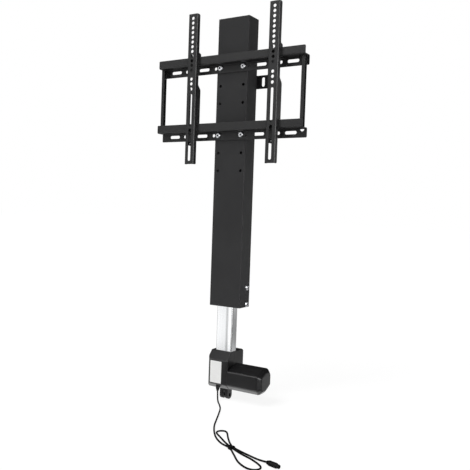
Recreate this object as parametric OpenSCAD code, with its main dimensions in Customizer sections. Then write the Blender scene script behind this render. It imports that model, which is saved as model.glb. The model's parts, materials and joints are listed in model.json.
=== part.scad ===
// Motorised lift column for a flat screen, drawn at rest with the column fully down.
// X runs along the screen rails, -Y faces the viewer and +Z is up. The origin is the
// centre of the wall plate's back face, where the fixed part meets a cabinet's back.

/* [Column] */
// Width of the moving column
column_w = 102; // [96:1:104]
// Depth of the moving column, front to back
column_d = 53; // [52:1:58]
// Length of the moving column
column_len = 817; // [790:1:860]
// Height of the column's top above the wall plate's centre, at rest
column_rise = 172; // [168:1:200]
// Sheet thickness of the column
column_wall = 2; // [1.6:0.1:2.4]
// Outer corner radius of the column
column_corner_r = 2.6; // [2.6:0.1:4]
// Width of the slot down the column's back
column_slot_w = 44; // [40:1:50]
// Width between the two columns of holes in the column's front
hole_span = 76; // [72:1:78]
// Step between the spare holes in the column's front
hole_step = 50; // [40:1:60]
// Diameter of the spare holes and of the bolt holes in the column
column_hole_d = 8.4; // [8.2:0.1:9]

/* [Guide tube] */
// Width of the fixed aluminium tube
tube_w = 54; // [52:1:56]
// Depth of the fixed aluminium tube
tube_d = 28; // [27:0.5:29]
// Wall of the fixed tube
tube_wall = 2.2; // [1.8:0.1:2.4]
// Outer corner radius of the fixed tube
tube_corner_r = 5; // [3:0.5:8]
// Height of the tube's top above the wall plate's centre
tube_rise = 140; // [136:1:144]
// Length of tube that shows under the column at rest
tube_show = 127; // [110:1:140]
// Width of the screw rib down the tube's back
rib_w = 20; // [16:1:20]
// Depth of the screw rib down the tube's back
rib_d = 8; // [7:0.5:9]

/* [Screen rails] */
// Length of the two rails
rail_len = 480; // [460:5:560]
// Height of a rail's back plate below the step
rail_plate_h = 23.3; // [22:0.1:30]
// Height of a rail's upturned lip
rail_lip_h = 23.2; // [18:0.1:28]
// Distance from the column's face to the lip's face
rail_reach = 28; // [26:1:34]
// Sheet thickness of the rails
rail_t = 2.5; // [2:0.1:3]
// Height of the upper rail's bolts above the wall plate's centre, at rest
rail_bolt_rise = 32; // [20:1:40]
// Step between the two rails
rail_step = 190; // [180:1:200]
// Height of the bolt holes above a rail's lower edge
rail_bolt_h = 14; // [11:0.5:16]
// Height of the slots in the rails
rail_slot_h = 9; // [6:0.5:10]

/* [Screen arms] */
// Length of the two arms
arm_len = 426; // [420:1:440]
// Width of an arm's face
arm_w = 31; // [27:1:33]
// Depth of an arm's side in front of the lips
arm_side_d = 13.7; // [12:0.1:16]
// Sheet thickness of the arms
arm_t = 2; // [1.6:0.1:2.5]
// Height of the arms' tops above the wall plate's centre, at rest
arm_rise = 184.5; // [180:0.5:190]
// Place of the left arm's centre across the rails
left_arm_x = -111; // [-160:1:-90]
// Place of the right arm's centre across the rails
right_arm_x = 153; // [110:1:160]
// Diameter of the screen holes and width of the screen slots
arm_hole_d = 9; // [6:0.5:10]

/* [Gearbox] */
// Reach of the gearbox to the left of the tube's centre
box_left = 38.5; // [37:0.5:42]
// Reach of the gearbox to the right of the tube's centre
box_right = 29; // [29:0.5:32]
// Depth of the gearbox, front to back
box_d = 87.5; // [84:0.5:88]
// Height of the gearbox
box_h = 106; // [100:1:120]
// Wall of the gearbox shells and the motor cover
box_wall = 2.5; // [2:0.1:3]
// Length of the motor cover past the gearbox
cover_len = 106.5; // [95:0.5:120]
// Width of the bevel round the motor cover's end
cover_bevel = 10; // [6:0.5:11]
// Diameter of the motor
motor_d = 30; // [28:1:31]

/* [Drive] */
// Diameter of the lifting spindle
spindle_d = 12; // [10:1:13]
// Outer diameter of the push tube
push_tube_d = 22; // [21:0.5:22]
// Wall of the push tube
push_tube_wall = 2; // [1.2:0.1:2.2]
// Outer diameter of the worm wheel
wheel_d = 27; // [25:0.5:28]
// Number of teeth on the worm wheel
wheel_teeth = 30; // [24:1:36]

/* [Wall plate and foot] */
// Width of the wall plate
wall_plate_w = 170; // [160:1:200]
// Height of the wall plate
wall_plate_h = 38; // [34:1:50]
// Thickness of the wall plate
wall_plate_t = 3; // [2:0.5:4]
// Distance from the wall to the column's back
wall_gap = 20; // [18:1:24]
// Distance of each slot in the wall plate from the centre
ear_slot_x = 61.5; // [56:0.5:70]
// Width of the slots in the wall plate
ear_slot_w = 10; // [6:0.5:11]
// Length of the slots in the wall plate
ear_slot_len = 27; // [20:1:28]
// Width of the foot across its two ears
foot_w = 27; // [24:1:32]
// Height of the foot below the gearbox
foot_h = 36; // [32:1:42]
// Diameter of the foot's pin hole
foot_pin_d = 10; // [6:0.5:10]

/* [Cord] */
// Diameter of the cord
cord_d = 4.4; // [4:0.1:4.4]

/* [Hidden] */
$fn = 48;
// Overrun of every cut past the face that it opens
over = 1;
// Gap between fixed pieces that fit into one another
fit = 0.1;
// Radial gap of a shaft in its bearing
shaft_fit = 0.05;
// Gap between pieces that slide past one another
slide_gap = 0.3;

// Planes and heights of the column and tube
column_rear_y = -wall_gap;
column_front_y = column_rear_y - column_d;
column_top_z = column_rise;
column_foot_z = column_rise - column_len;
column_in_w = column_w - 2 * column_wall;
column_in_front_y = column_front_y + column_wall;
column_in_rear_y = column_rear_y - column_wall;
tube_front_gap = 1;
tube_y = column_in_front_y + tube_front_gap + tube_d / 2;
tube_rear_y = tube_y + tube_d / 2;
rib_rear_y = tube_rear_y + rib_d;
box_top_z = column_foot_z - tube_show;
tube_seat_depth = 20;
tube_foot_z = box_top_z - tube_seat_depth;

// Rails, struts, their bolts and their slots
rail_low_zs = [rail_bolt_rise - rail_bolt_h, rail_bolt_rise - rail_bolt_h - rail_step];
rail_h = rail_plate_h + rail_lip_h;
plate_front_y = column_front_y - rail_t;
lip_front_y = column_front_y - rail_reach;
lip_rear_y = lip_front_y + rail_t;
rail_corner_r = 3;
rail_slot_len = 35;
rail_slot_inset = 47;
rail_slot_step = 99;
rail_hole_d = 9;
rail_hole_inset = 84;
rail_near_hole_x = 54;
rail_notch_d = 12;
rail_notch_inset = 13.5;
strut_w = 10;
strut_d = 12;
strut_wall = 1.5;
strut_inset = 8.7;
bolt_d = 8;
bolt_head_d = 15;
bolt_head_h = 4.5;
bolt_socket_d = 6;
bolt_socket_depth = 3;
nut_across = 13;
nut_h = 6.5;
bolt_end = 1.5;

// Arms: distances are from the arm's top edge
arm_front_y = lip_front_y - slide_gap - arm_side_d;
arm_top_z = arm_rise;
arm_hole_first = 12.5;
arm_hole_step = 40 / 3;
arm_holes_upper = 12;
arm_pair_first = 184.2;
arm_hole_lone = 212.5;
arm_slots = [[231, 312.5], [329, 412.5]];
arm_corner = 4;
hook_rise = 12;
hook_ramp = 3;
hook_reach = 10;
hook_tongue = 3;
hook_drop = 8;
deep_rise = 98;
deep_ramp = 12;
deep_reach = 12;
lock_tab_t = 2;
lock_tab_len = 14;
lock_tilt = 45;
lock_y = 11.5;
lock_rise = 60.5;
lock_screw_d = 5;
lock_screw_len = 18;
lock_head_d = 9;
lock_head_h = 6;

// Guide blocks, their bolts and the guide on the tube's top
block_h = 62;
block_lift = 2;
block_hook_x = 16;
block_bolt_hs = [9, 56];
block_bolt_inset = 16.5;
side_bolt_d = 6;
side_head_d = 17;
side_head_h = 5;
side_bolt_len = 12;
top_guide_h = 18;
top_guide_cap = 4;
top_guide_front = 3;
top_guide_wing_y = 11;
top_sleeve_h = 20;

// Head plate and top cap inside the column
cap_t = 3;
head_plate_t = 5;
head_plate_drop = 17;
head_plug_h = 22;
head_bolt_d = 10;
head_bolt_head_d = 16;
head_bolt_head_h = 6;
head_bolt_len = 20;

// Gearbox outline
box_front_reach = 23;
box_front_y = tube_y - tube_d / 2 - box_front_reach;
box_rear_y = box_front_y + box_d;
box_floor_z = box_top_z - box_h;
box_slope_h = 24;
box_slope_d = 21;
box_front_bevel = 13.5;
box_back_bevel = 5;
box_under_bevel = 12;
box_left_bevel = 8;
box_right_bevel = 3;
shelf_h = 20;
boss_d = 9;
boss_inset_left = 7.5;
boss_inset_right = 8;
boss_low = 12;
boss_high = 28;
box_screw_d = 4;
box_screw_head_d = 8;
box_screw_head_h = 3;
box_screw_front = 18;
label_t = 0.4;
label_left = 11;
label_w = 37.5;
label_drop = 3;
label_h = 62.5;

// Motor cover outline, measured from the gearbox's front, back and floor
cover_front_inset = 2;
cover_rear_inset = 15;
cover_h = 68;
cover_face_h = 40;
cover_top_d = 32;
cover_back_d = 10;
cover_back_h = 15;
cover_under_d = 32;
cover_under_h = 18;
cover_bevel_x = 10;
motor_len = 70;
motor_boss_d = 10;
motor_boss_len = 2;

// Drive pieces
bearing_h = 12;
bearing_d = 28;
low_bearing_d = 22;
low_bearing_h = 8;
wheel_h = 14;
wheel_tooth_h = 1.6;
tooth_root_share = 0.32;
tooth_tip_share = 0.18;
worm_d = 6.4;
worm_shaft_d = 6;
worm_len = 30;
worm_boss_d = 12;
worm_boss_len = 9;
motor_shaft_bite = 8;
shaft_hole_d = 13;
drive_z = box_floor_z + 33;
worm_y = tube_y + wheel_d / 2 + slide_gap + worm_d / 2;
spindle_top_z = -14;
spindle_foot_z = box_floor_z + box_wall + fit;
nut_len = 44;
nut_foot_z = tube_foot_z + 26;
nut_socket = 12;
end_bush_h = 14;

// Foot and wall bracket
foot_ear_w = 9.5;
foot_d = 24;
foot_y = tube_y + 7;
foot_stem_d = 18;
foot_stem_h = 6;
foot_web = 10;
foot_low_z = box_floor_z - foot_h;
plate_corner_r = 3;
standoff_w = 28;
standoff_t = 3;
bracket_screw_rise = 10;
bracket_screw_d = 6;
bracket_screw_bite = 6;
bracket_head_d = 10;
bracket_head_h = 4;

// Cord, tie and plug. Heights are above the foot's lowest face.
gland_x = -4.5;
gland_y = -86;
gland_d = 11;
gland_tip_d = 6;
gland_top = 50;
gland_neck = 36;
gland_tip = 28;
tie_centre = [229, -379];
tie_turn = -31;
tie_len = 5;
tie_height = 3.8;
tie_t = 1;
tie_gap = 0.5;
strand_step = 5;
plug_start = [338, -409.5];
plug_turn = -12;
plug_height = 6.2;
plug_grip_d = 12;
plug_grip_len = 20;
plug_neck_d = 7;
plug_neck_len = 8;
plug_barrel_d = 9;
plug_barrel_len = 7;
cord_route = [
    [-4.5, -86, 28], [-3.5, -87, 19], [1, -93, 9.5], [11, -105, 3.2], [28, -124, 2.3],
    [48, -151, 2.3], [69, -190, 2.3], [90, -232, 2.3], [111, -273, 2.3], [136, -311, 2.3],
    [163, -343, 2.3], [193, -367, 2.7], [226, -383, 3.8], [252, -407, 2.8], [281, -436, 2.3],
    [308, -453, 2.3], [327, -456, 2.3], [338, -448, 2.3], [338, -436, 2.3], [327, -424, 2.3],
    [299, -408, 2.3], [264, -395, 2.7], [229, -379, 3.8], [197, -356.5, 2.7], [169, -334, 2.3],
    [151, -320, 2.3], [144, -312.5, 2.3], [142, -303.5, 2.3], [146.5, -295.5, 2.3],
    [155, -292.5, 2.3], [163.5, -297, 2.3], [171, -306, 2.3], [188, -329, 2.3],
    [210.5, -356, 2.8], [232, -375, 3.8], [260, -385, 2.8], [288, -393.5, 2.4],
    [314, -402.5, 3.4], [338, -409.5, 6.2]
];
cord_sides = 8;
cord_steps = 2;
cord_probe_steps = 6;
cord_probe_skip = 24;

// Small helpers

// A polygon with every side moved inwards by one distance
function unit(v) = v / norm(v);
function inset(points, distance) =
    let (n = len(points))
    [for (i = [0 : n - 1])
        let (before = points[(i + n - 1) % n], here = points[i], after = points[(i + 1) % n])
        let (u = unit(here - before), v = unit(after - here))
        let (nu = [-u.y, u.x], nv = [-v.y, v.x])
        here + (nu + nv) * distance / (1 + nu * nv)];

module round_rect(w, d, r) {
    square([w - 2 * r, d], center = true);
    square([w, d - 2 * r], center = true);
    for (x = [-1, 1], y = [-1, 1])
        translate([x * (w / 2 - r), y * (d / 2 - r)]) circle(r);
}

module slot_shape(length, height) {
    square([length - height, height], center = true);
    for (x = [-1, 1]) translate([x * (length - height) / 2, 0]) circle(d = height);
}

// Extrude a Y-Z outline along X, or an X-Z outline along Y
module along_x(x0, x1) {
    translate([x0, 0, 0]) rotate([90, 0, 90]) linear_extrude(x1 - x0) children();
}

module along_y(y0, y1) {
    translate([0, y1, 0]) rotate([90, 0, 0]) linear_extrude(y1 - y0) children();
}

module rod_x(x0, x1, d) { along_x(x0, x1) circle(d = d); }
module rod_y(y0, y1, d) { along_y(y0, y1) circle(d = d); }

// Column and what is fixed inside it

module column_outline() {
    column_mid_y = (column_front_y + column_rear_y) / 2;
    translate([0, column_mid_y]) round_rect(column_w, column_d, column_corner_r);
}

module column_space(gap) {
    inner_mid_y = (column_in_front_y + column_in_rear_y) / 2;
    translate([0, inner_mid_y])
        round_rect(
            column_in_w - 2 * gap, column_d - 2 * column_wall - 2 * gap,
            column_corner_r - column_wall
        );
}

// Heights of the holes in the column's front: each rail's bolts and two spare rows below
function hole_rows() =
    [for (low = rail_low_zs, row = [0 : 2]) low + rail_bolt_h - row * hole_step];

module column_shell() {
    color("dimgray") difference() {
        translate([0, 0, column_foot_z]) linear_extrude(column_len) difference() {
            column_outline();
            column_space(0);
            translate([-column_slot_w / 2, column_in_rear_y - over])
                square([column_slot_w, column_wall + 2 * over]);
        }
        for (z = hole_rows(), x = [-1, 1])
            translate([x * hole_span / 2, 0, z])
                rod_y(column_front_y - over, column_in_front_y + over, column_hole_d);
        for (h = block_bolt_hs)
            translate([0, column_in_rear_y - block_bolt_inset + column_wall, column_foot_z + h])
                rod_x(-column_w / 2 - over, column_w / 2 + over, side_bolt_d + 2 * fit);
    }
}

module column_top_cap() {
    color("black") translate([0, 0, column_top_z - cap_t]) linear_extrude(cap_t)
        column_space(fit);
}

head_plate_z = column_top_z - head_plate_drop - head_plate_t;

module head_plate() {
    color("gray") difference() {
        translate([0, 0, head_plate_z]) linear_extrude(head_plate_t) column_space(0);
        translate([0, tube_y, head_plate_z - over])
            cylinder(d = head_bolt_d + 2 * fit, h = head_plate_t + 2 * over);
    }
}

module head_bolt() {
    color("silver") translate([0, tube_y, head_plate_z]) {
        translate([0, 0, head_plate_t]) cylinder(d = head_bolt_head_d, h = head_bolt_head_h);
        translate([0, 0, -head_bolt_len]) cylinder(d = head_bolt_d, h = head_bolt_len + head_plate_t);
    }
}

module push_tube() {
    foot = nut_foot_z + nut_len - nut_socket;
    color("silver") translate([0, tube_y, foot]) difference() {
        cylinder(d = push_tube_d, h = head_plate_z - foot);
        translate([0, 0, -over])
            cylinder(d = push_tube_d - 2 * push_tube_wall, h = head_plate_z - foot + 2 * over);
    }
}

module push_tube_plug() {
    color("gray") translate([0, tube_y, head_plate_z - head_plug_h]) difference() {
        cylinder(d = push_tube_d - 2 * push_tube_wall - 2 * shaft_fit, h = head_plug_h);
        translate([0, 0, -over])
            cylinder(d = head_bolt_d + 2 * shaft_fit, h = head_plug_h + 2 * over);
    }
}

module drive_nut() {
    nut_w = tube_w - 2 * tube_wall - 2 * slide_gap;
    nut_d = tube_d - 2 * tube_wall - 2 * slide_gap;
    color("ivory") translate([0, tube_y, nut_foot_z]) difference() {
        linear_extrude(nut_len) round_rect(nut_w, nut_d, tube_corner_r - tube_wall);
        translate([0, 0, -over]) cylinder(d = spindle_d + 2 * shaft_fit, h = nut_len + 2 * over);
        translate([0, 0, nut_len - nut_socket])
            cylinder(d = push_tube_d + 2 * shaft_fit, h = nut_socket + over);
    }
}

// One block slides on the tube's side and reaches behind it
module guide_block(side) {
    low = column_foot_z + block_lift;
    outer = column_in_w / 2 - fit;
    color("whitesmoke") difference() {
        translate([0, 0, low]) linear_extrude(block_h) intersection() {
            column_space(fit);
            scale([side, 1]) {
                translate([tube_w / 2 + slide_gap, column_front_y]) square(column_w);
                translate([block_hook_x, tube_rear_y + slide_gap]) square(column_w);
            }
        }
        for (h = block_bolt_hs)
            translate([0, column_in_rear_y - block_bolt_inset + column_wall, column_foot_z + h])
                rod_x(
                    side > 0 ? outer - side_bolt_len : -outer - over,
                    side > 0 ? outer + over : side_bolt_len - outer, side_bolt_d + 2 * shaft_fit
                );
    }
}

module left_guide_block() { guide_block(-1); }
module right_guide_block() { guide_block(1); }

module guide_block_bolts() {
    color("silver") for (side = [-1, 1], h = block_bolt_hs)
        translate([0, column_in_rear_y - block_bolt_inset + column_wall, column_foot_z + h])
            scale([side, 1, 1]) difference() {
                union() {
                    rod_x(column_w / 2, column_w / 2 + side_head_h, side_head_d);
                    rod_x(column_w / 2 - side_bolt_len, column_w / 2, side_bolt_d);
                }
                along_x(column_w / 2 + side_head_h / 2, column_w / 2 + side_head_h + over)
                    circle(d = side_bolt_d, $fn = 6);
            }
}

// Screen frame: two rails, two struts and their bolts

function rail_outline(low) = [
    [column_front_y, low],
    [column_front_y, low + rail_plate_h + rail_t],
    [lip_rear_y, low + rail_plate_h + rail_t],
    [lip_rear_y, low + rail_h],
    [lip_front_y, low + rail_h],
    [lip_front_y, low + rail_plate_h],
    [plate_front_y, low + rail_plate_h],
    [plate_front_y, low]
];

// Rounds off the lower corners of a rail's plate
module rail_corner_cuts(low) {
    for (side = [-1, 1]) scale([side, 1, 1])
        along_y(plate_front_y - over, column_front_y + over)
            translate([rail_len / 2, low]) difference() {
                translate([-rail_corner_r, -over]) square(rail_corner_r + over);
                translate([-rail_corner_r, rail_corner_r]) circle(rail_corner_r);
            }
}

module rail_holes(low) {
    half = rail_len / 2;
    y0 = plate_front_y - over;
    y1 = column_front_y + over;
    translate([0, 0, low + rail_bolt_h]) {
        for (side = [-1, 1]) {
            for (x = [half - rail_slot_inset, half - rail_slot_inset - rail_slot_step])
                along_y(y0, y1) translate([side * x, 0]) slot_shape(rail_slot_len, rail_slot_h);
            for (x = [half - rail_hole_inset, rail_near_hole_x])
                translate([side * x, 0, 0]) rod_y(y0, y1, rail_hole_d);
            translate([side * hole_span / 2, 0, 0]) rod_y(y0, y1, column_hole_d);
        }
    }
}

// Half-round notch under the step at a rail's right end
module rail_notch(low) {
    along_y(plate_front_y - over, column_front_y + over)
        translate([rail_len / 2 - rail_notch_inset, low + rail_plate_h]) intersection() {
            circle(d = rail_notch_d);
            translate([-rail_notch_d, -2 * rail_notch_d]) square(2 * rail_notch_d);
        }
}

module rail(low) {
    color("dimgray") difference() {
        along_x(-rail_len / 2, rail_len / 2) polygon(rail_outline(low));
        rail_holes(low);
        rail_corner_cuts(low);
    }
}

module upper_rail() { rail(rail_low_zs[0]); }

module lower_rail() {
    color("dimgray") difference() {
        rail(rail_low_zs[1]);
        rail_notch(rail_low_zs[1]);
    }
}

// A channel, open to the viewer's right
module strut(side) {
    low = rail_low_zs[1] + rail_plate_h + rail_t;
    high = rail_low_zs[0] + rail_plate_h;
    x = side * (rail_len / 2 - strut_inset);
    y = (lip_rear_y + plate_front_y) / 2;
    color("dimgray") translate([x, y, low]) linear_extrude(high - low) difference() {
        square([strut_w, strut_d], center = true);
        translate([-strut_w / 2 + strut_wall, -strut_d / 2 + strut_wall])
            square([strut_w, strut_d - 2 * strut_wall]);
    }
}

module left_strut() { strut(-1); }
module right_strut() { strut(1); }

module at_rail_bolts() {
    for (low = rail_low_zs, side = [-1, 1])
        translate([side * hole_span / 2, 0, low + rail_bolt_h]) children();
}

module rail_bolts() {
    color("silver") at_rail_bolts() difference() {
        union() {
            rod_y(plate_front_y - bolt_head_h, plate_front_y, bolt_head_d);
            rod_y(plate_front_y, column_in_front_y + nut_h + bolt_end, bolt_d);
        }
        along_y(plate_front_y - bolt_head_h - over, plate_front_y - bolt_head_h + bolt_socket_depth)
            circle(d = bolt_socket_d, $fn = 6);
    }
}

module rail_nuts() {
    color("silver") at_rail_bolts() difference() {
        along_y(column_in_front_y, column_in_front_y + nut_h)
            circle(d = nut_across / cos(30), $fn = 6);
        rod_y(column_in_front_y - over, column_in_front_y + nut_h + over, bolt_d + 2 * shaft_fit);
    }
}

// Screen arms: a channel that hooks over both lips

// Side of an arm, in Y and Z. The right side is deeper between the hooks than the left.
function arm_side_outline(side) =
    let (front = arm_front_y, back = arm_front_y + arm_side_d)
    let (top = arm_top_z, foot = arm_top_z - arm_len)
    let (hook_low = rail_low_zs[0] + rail_h + slide_gap, deep_low = rail_low_zs[1] + rail_h + slide_gap)
    let (hook_back = lip_rear_y + slide_gap + hook_tongue)
    let (deep_back = side > 0 ? back + deep_reach : hook_back)
    let (tongue_front = lip_rear_y + slide_gap)
    [
        [front, foot], [back - arm_corner, foot], [back, foot + arm_corner],
        [back, deep_low], [tongue_front, deep_low], [tongue_front, deep_low - hook_drop],
        [hook_back, deep_low - hook_drop], [deep_back, deep_low],
        [deep_back, deep_low + deep_rise], [back, deep_low + deep_rise + deep_ramp],
        [back, hook_low], [tongue_front, hook_low], [tongue_front, hook_low - hook_drop],
        [hook_back, hook_low - hook_drop], [back + hook_reach, hook_low],
        [back + hook_reach, hook_low + hook_rise - hook_ramp], [back, hook_low + hook_rise],
        [back, top - arm_corner], [back - arm_corner, top], [front, top]
    ];

module arm_holes() {
    singles = concat(
        [for (i = [0 : arm_holes_upper - 1]) arm_hole_first + i * arm_hole_step],
        [arm_pair_first, arm_pair_first + arm_hole_step, arm_hole_lone]
    );
    y0 = arm_front_y - over;
    y1 = arm_front_y + arm_t + over;
    for (drop = singles) translate([0, 0, arm_top_z - drop]) rod_y(y0, y1, arm_hole_d);
    for (ends = arm_slots)
        along_y(y0, y1) translate([0, arm_top_z - (ends[0] + ends[1]) / 2]) rotate(90)
            slot_shape(ends[1] - ends[0] + arm_hole_d, arm_hole_d);
}

module arm(x) {
    color("dimgray") translate([x, 0, 0]) difference() {
        union() {
            for (side = [-1, 1]) scale([side, 1, 1])
                along_x(arm_w / 2 - arm_t, arm_w / 2) polygon(arm_side_outline(side));
            translate([-arm_w / 2, arm_front_y, arm_top_z - arm_len])
                cube([arm_w, arm_t, arm_len]);
        }
        arm_holes();
    }
}

module left_arm() { arm(left_arm_x); }
module right_arm() { arm(right_arm_x); }

// A slanted tab between the arm's sides holds a screw that locks under the lower rail
module lock_place(x) {
    translate([x, arm_front_y + lock_y, arm_top_z - arm_len + lock_rise]) rotate([-lock_tilt, 0, 0])
        children();
}

module lock_tab(x) {
    color("dimgray") lock_place(x) difference() {
        translate([-arm_w / 2 + arm_t, -lock_tab_len / 2, -lock_tab_t])
            cube([arm_w - 2 * arm_t, lock_tab_len, lock_tab_t]);
        translate([0, 0, -lock_tab_t - over])
            cylinder(d = lock_screw_d + 2 * fit, h = lock_tab_t + 2 * over);
    }
}

module lock_screw(x) {
    color("silver") lock_place(x) {
        translate([0, 0, -lock_tab_t - lock_head_h]) cylinder(d = lock_head_d, h = lock_head_h);
        translate([0, 0, -lock_tab_t]) cylinder(d = lock_screw_d, h = lock_screw_len);
    }
}

module left_lock_tab() { lock_tab(left_arm_x); }
module left_lock_screw() { lock_screw(left_arm_x); }
module right_lock_tab() { lock_tab(right_arm_x); }
module right_lock_screw() { lock_screw(right_arm_x); }

// Fixed tube and the guide on its top

module tube_outline(gap) {
    translate([0, tube_y]) round_rect(tube_w + 2 * gap, tube_d + 2 * gap, tube_corner_r + gap);
    translate([-rib_w / 2 - gap, tube_y]) square([rib_w + 2 * gap, rib_rear_y - tube_y + gap]);
}

module tube_space(gap) {
    translate([0, tube_y]) round_rect(
        tube_w - 2 * tube_wall - 2 * gap, tube_d - 2 * tube_wall - 2 * gap,
        tube_corner_r - tube_wall
    );
}

module guide_tube() {
    color("silver") difference() {
        translate([0, 0, tube_foot_z]) linear_extrude(tube_rise - tube_foot_z) difference() {
            tube_outline(0);
            tube_space(0);
        }
        for (side = [-1, 1]) translate([0, 0, side * bracket_screw_rise])
            rod_y(rib_rear_y - bracket_screw_bite, rib_rear_y + over, bracket_screw_d + 2 * shaft_fit);
    }
}

module tube_top_guide() {
    wing_w = column_in_w - 2 * slide_gap;
    wing_front = tube_y - top_guide_wing_y / 2;
    rear = column_in_rear_y - slide_gap;
    front = column_in_front_y + slide_gap;
    low = tube_rise - top_guide_h;
    full_h = top_guide_h + top_guide_cap;
    color("black") difference() {
        union() {
            difference() {
                translate([0, 0, low]) linear_extrude(full_h) {
                    translate([-wing_w / 2, wing_front]) square([wing_w, rear - wing_front]);
                    translate([-tube_w / 2 - top_guide_front, front])
                        square([tube_w + 2 * top_guide_front, tube_d]);
                }
                translate([0, 0, low - over]) linear_extrude(top_guide_h + over) tube_outline(fit);
            }
            translate([0, 0, tube_rise - top_sleeve_h])
                linear_extrude(top_sleeve_h + top_guide_cap) tube_space(fit);
        }
        translate([0, tube_y, tube_rise - top_sleeve_h - over])
            cylinder(d = push_tube_d + 2 * shaft_fit, h = top_sleeve_h + top_guide_cap + 2 * over);
    }
}

// Gearbox shells: one bevelled outline run along X, parted through the spindle

box_outline = [
    [box_front_y, box_floor_z + box_front_bevel],
    [box_front_y + box_front_bevel, box_floor_z],
    [box_rear_y - box_under_bevel, box_floor_z],
    [box_rear_y, box_floor_z + box_under_bevel],
    [box_rear_y, box_top_z - box_back_bevel],
    [box_rear_y - box_back_bevel, box_top_z],
    [box_front_y + box_slope_d, box_top_z],
    [box_front_y, box_top_z - box_slope_h]
];

module box_body() {
    difference() {
        along_x(-box_left, box_right) polygon(box_outline);
        translate([0, 0, box_floor_z - over]) linear_extrude(box_h + 2 * over) {
            polygon([
                [-box_left - over, box_front_y - over], [box_left_bevel - box_left, box_front_y - over],
                [box_left_bevel - box_left, box_front_y], [-box_left, box_front_y + box_left_bevel],
                [-box_left - over, box_front_y + box_left_bevel]
            ]);
            polygon([
                [box_right + over, box_front_y - over], [box_right + over, box_front_y + box_right_bevel],
                [box_right, box_front_y + box_right_bevel], [box_right - box_right_bevel, box_front_y],
                [box_right - box_right_bevel, box_front_y - over]
            ]);
        }
    }
}

// Room inside the shells, above and below the shelf that carries the tube
module box_room() {
    shelf_low = tube_foot_z - shelf_h;
    side_in = box_left_bevel * 0.6 + box_wall;
    difference() {
        along_x(box_wall - box_left, box_right - box_wall) polygon(inset(box_outline, box_wall));
        translate([-box_left, box_front_y, shelf_low]) cube([box_left + box_right, box_d, shelf_h]);
        translate([-box_left, box_front_y, box_floor_z]) cube([side_in, side_in, box_h]);
        box_bosses(boss_d);
        rod_z_ring(low_bearing_d + 2 * box_wall, box_floor_z, low_bearing_h + box_wall + foot_stem_h);
        translate([0, worm_y, drive_z])
            rod_x(-box_left, -box_left + box_wall + worm_boss_len, worm_boss_d);
    }
}

module rod_z_ring(d, low, h) { translate([0, tube_y, low]) cylinder(d = d, h = h); }

module box_bosses(d) {
    for (x = [boss_inset_left - box_left, box_right - boss_inset_right])
        for (z = [box_floor_z + boss_low, tube_foot_z - box_back_bevel - boss_d / 2])
            translate([x, 0, z]) rod_y(box_front_y, box_rear_y, d);
}

module box_cuts() {
    // Seat of the tube
    translate([0, 0, tube_foot_z]) linear_extrude(tube_seat_depth + over) tube_outline(fit);
    // Upper bearing in the shelf, and the way through for the spindle
    translate([0, tube_y, tube_foot_z - shelf_h - over]) {
        cylinder(d = bearing_d + 2 * fit, h = bearing_h + over);
        cylinder(d = spindle_d + 2 * box_wall, h = shelf_h + 2 * over);
    }
    // Lower bearing, and the way through for the foot's stem
    translate([0, tube_y, box_floor_z + box_wall + foot_stem_h]) {
        cylinder(d = low_bearing_d + 2 * fit, h = low_bearing_h + box_wall + over);
        translate([0, 0, -low_bearing_h]) cylinder(d = spindle_d + box_wall, h = box_h / 4);
    }
    translate([0, foot_y, box_floor_z - over])
        cylinder(d = foot_stem_d + 2 * fit, h = foot_stem_h + over);
    // Worm shaft
    translate([0, worm_y, drive_z]) {
        rod_x(box_wall - box_left, box_right + over, worm_shaft_d + 2 * shaft_fit);
        rod_x(box_right - box_wall - over, box_right + over, shaft_hole_d);
    }
    // Cord gland
    translate([gland_x, gland_y, foot_low_z + gland_tip])
        cylinder(d = gland_d + 2 * fit, h = gland_top - gland_tip + over);
}

module box_screw_places() {
    for (x = [boss_inset_left - box_left, box_right - boss_inset_right])
        for (z = [box_floor_z + boss_low, tube_foot_z - box_back_bevel - boss_d / 2])
            translate([x, 0, z]) children();
}

module box_screw_holes() {
    box_screw_places() {
        rod_y(tube_y - box_screw_front, box_rear_y + over, box_screw_d + 2 * shaft_fit);
        rod_y(box_rear_y - box_screw_head_h, box_rear_y + over, box_screw_head_d + 2 * fit);
    }
}

module box_shells() {
    difference() {
        box_body();
        box_room();
        box_cuts();
        box_screw_holes();
    }
}

module gearbox_front_shell() {
    color("dimgray") intersection() {
        box_shells();
        translate([-box_left, box_front_y, box_floor_z])
            cube([box_left + box_right, tube_y - box_front_y, box_h]);
    }
}

module gearbox_rear_shell() {
    color("dimgray") intersection() {
        box_shells();
        translate([-box_left, tube_y, box_floor_z])
            cube([box_left + box_right, box_rear_y - tube_y, box_h]);
    }
}

module gearbox_screws() {
    color("gray") box_screw_places() {
        rod_y(tube_y - box_screw_front, box_rear_y - box_screw_head_h, box_screw_d);
        rod_y(box_rear_y - box_screw_head_h, box_rear_y, box_screw_head_d);
    }
}

module rating_label() {
    color("white") translate([0, box_front_y, box_top_z - box_slope_h - label_drop])
        translate([label_left - box_left, -label_t, -label_h])
            cube([label_w, label_t, label_h]);
}

// Motor and its cover

cover_front_y = box_front_y + cover_front_inset;
cover_rear_y = box_rear_y - cover_rear_inset;
cover_outline = [
    [cover_front_y, box_floor_z + box_front_bevel],
    [cover_front_y + box_front_bevel, box_floor_z],
    [cover_rear_y - cover_under_d, box_floor_z],
    [cover_rear_y, box_floor_z + cover_under_h],
    [cover_rear_y, box_floor_z + cover_h - cover_back_h],
    [cover_rear_y - cover_back_d, box_floor_z + cover_h],
    [cover_front_y + cover_top_d, box_floor_z + cover_h],
    [cover_front_y, box_floor_z + box_front_bevel + cover_face_h]
];

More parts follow.
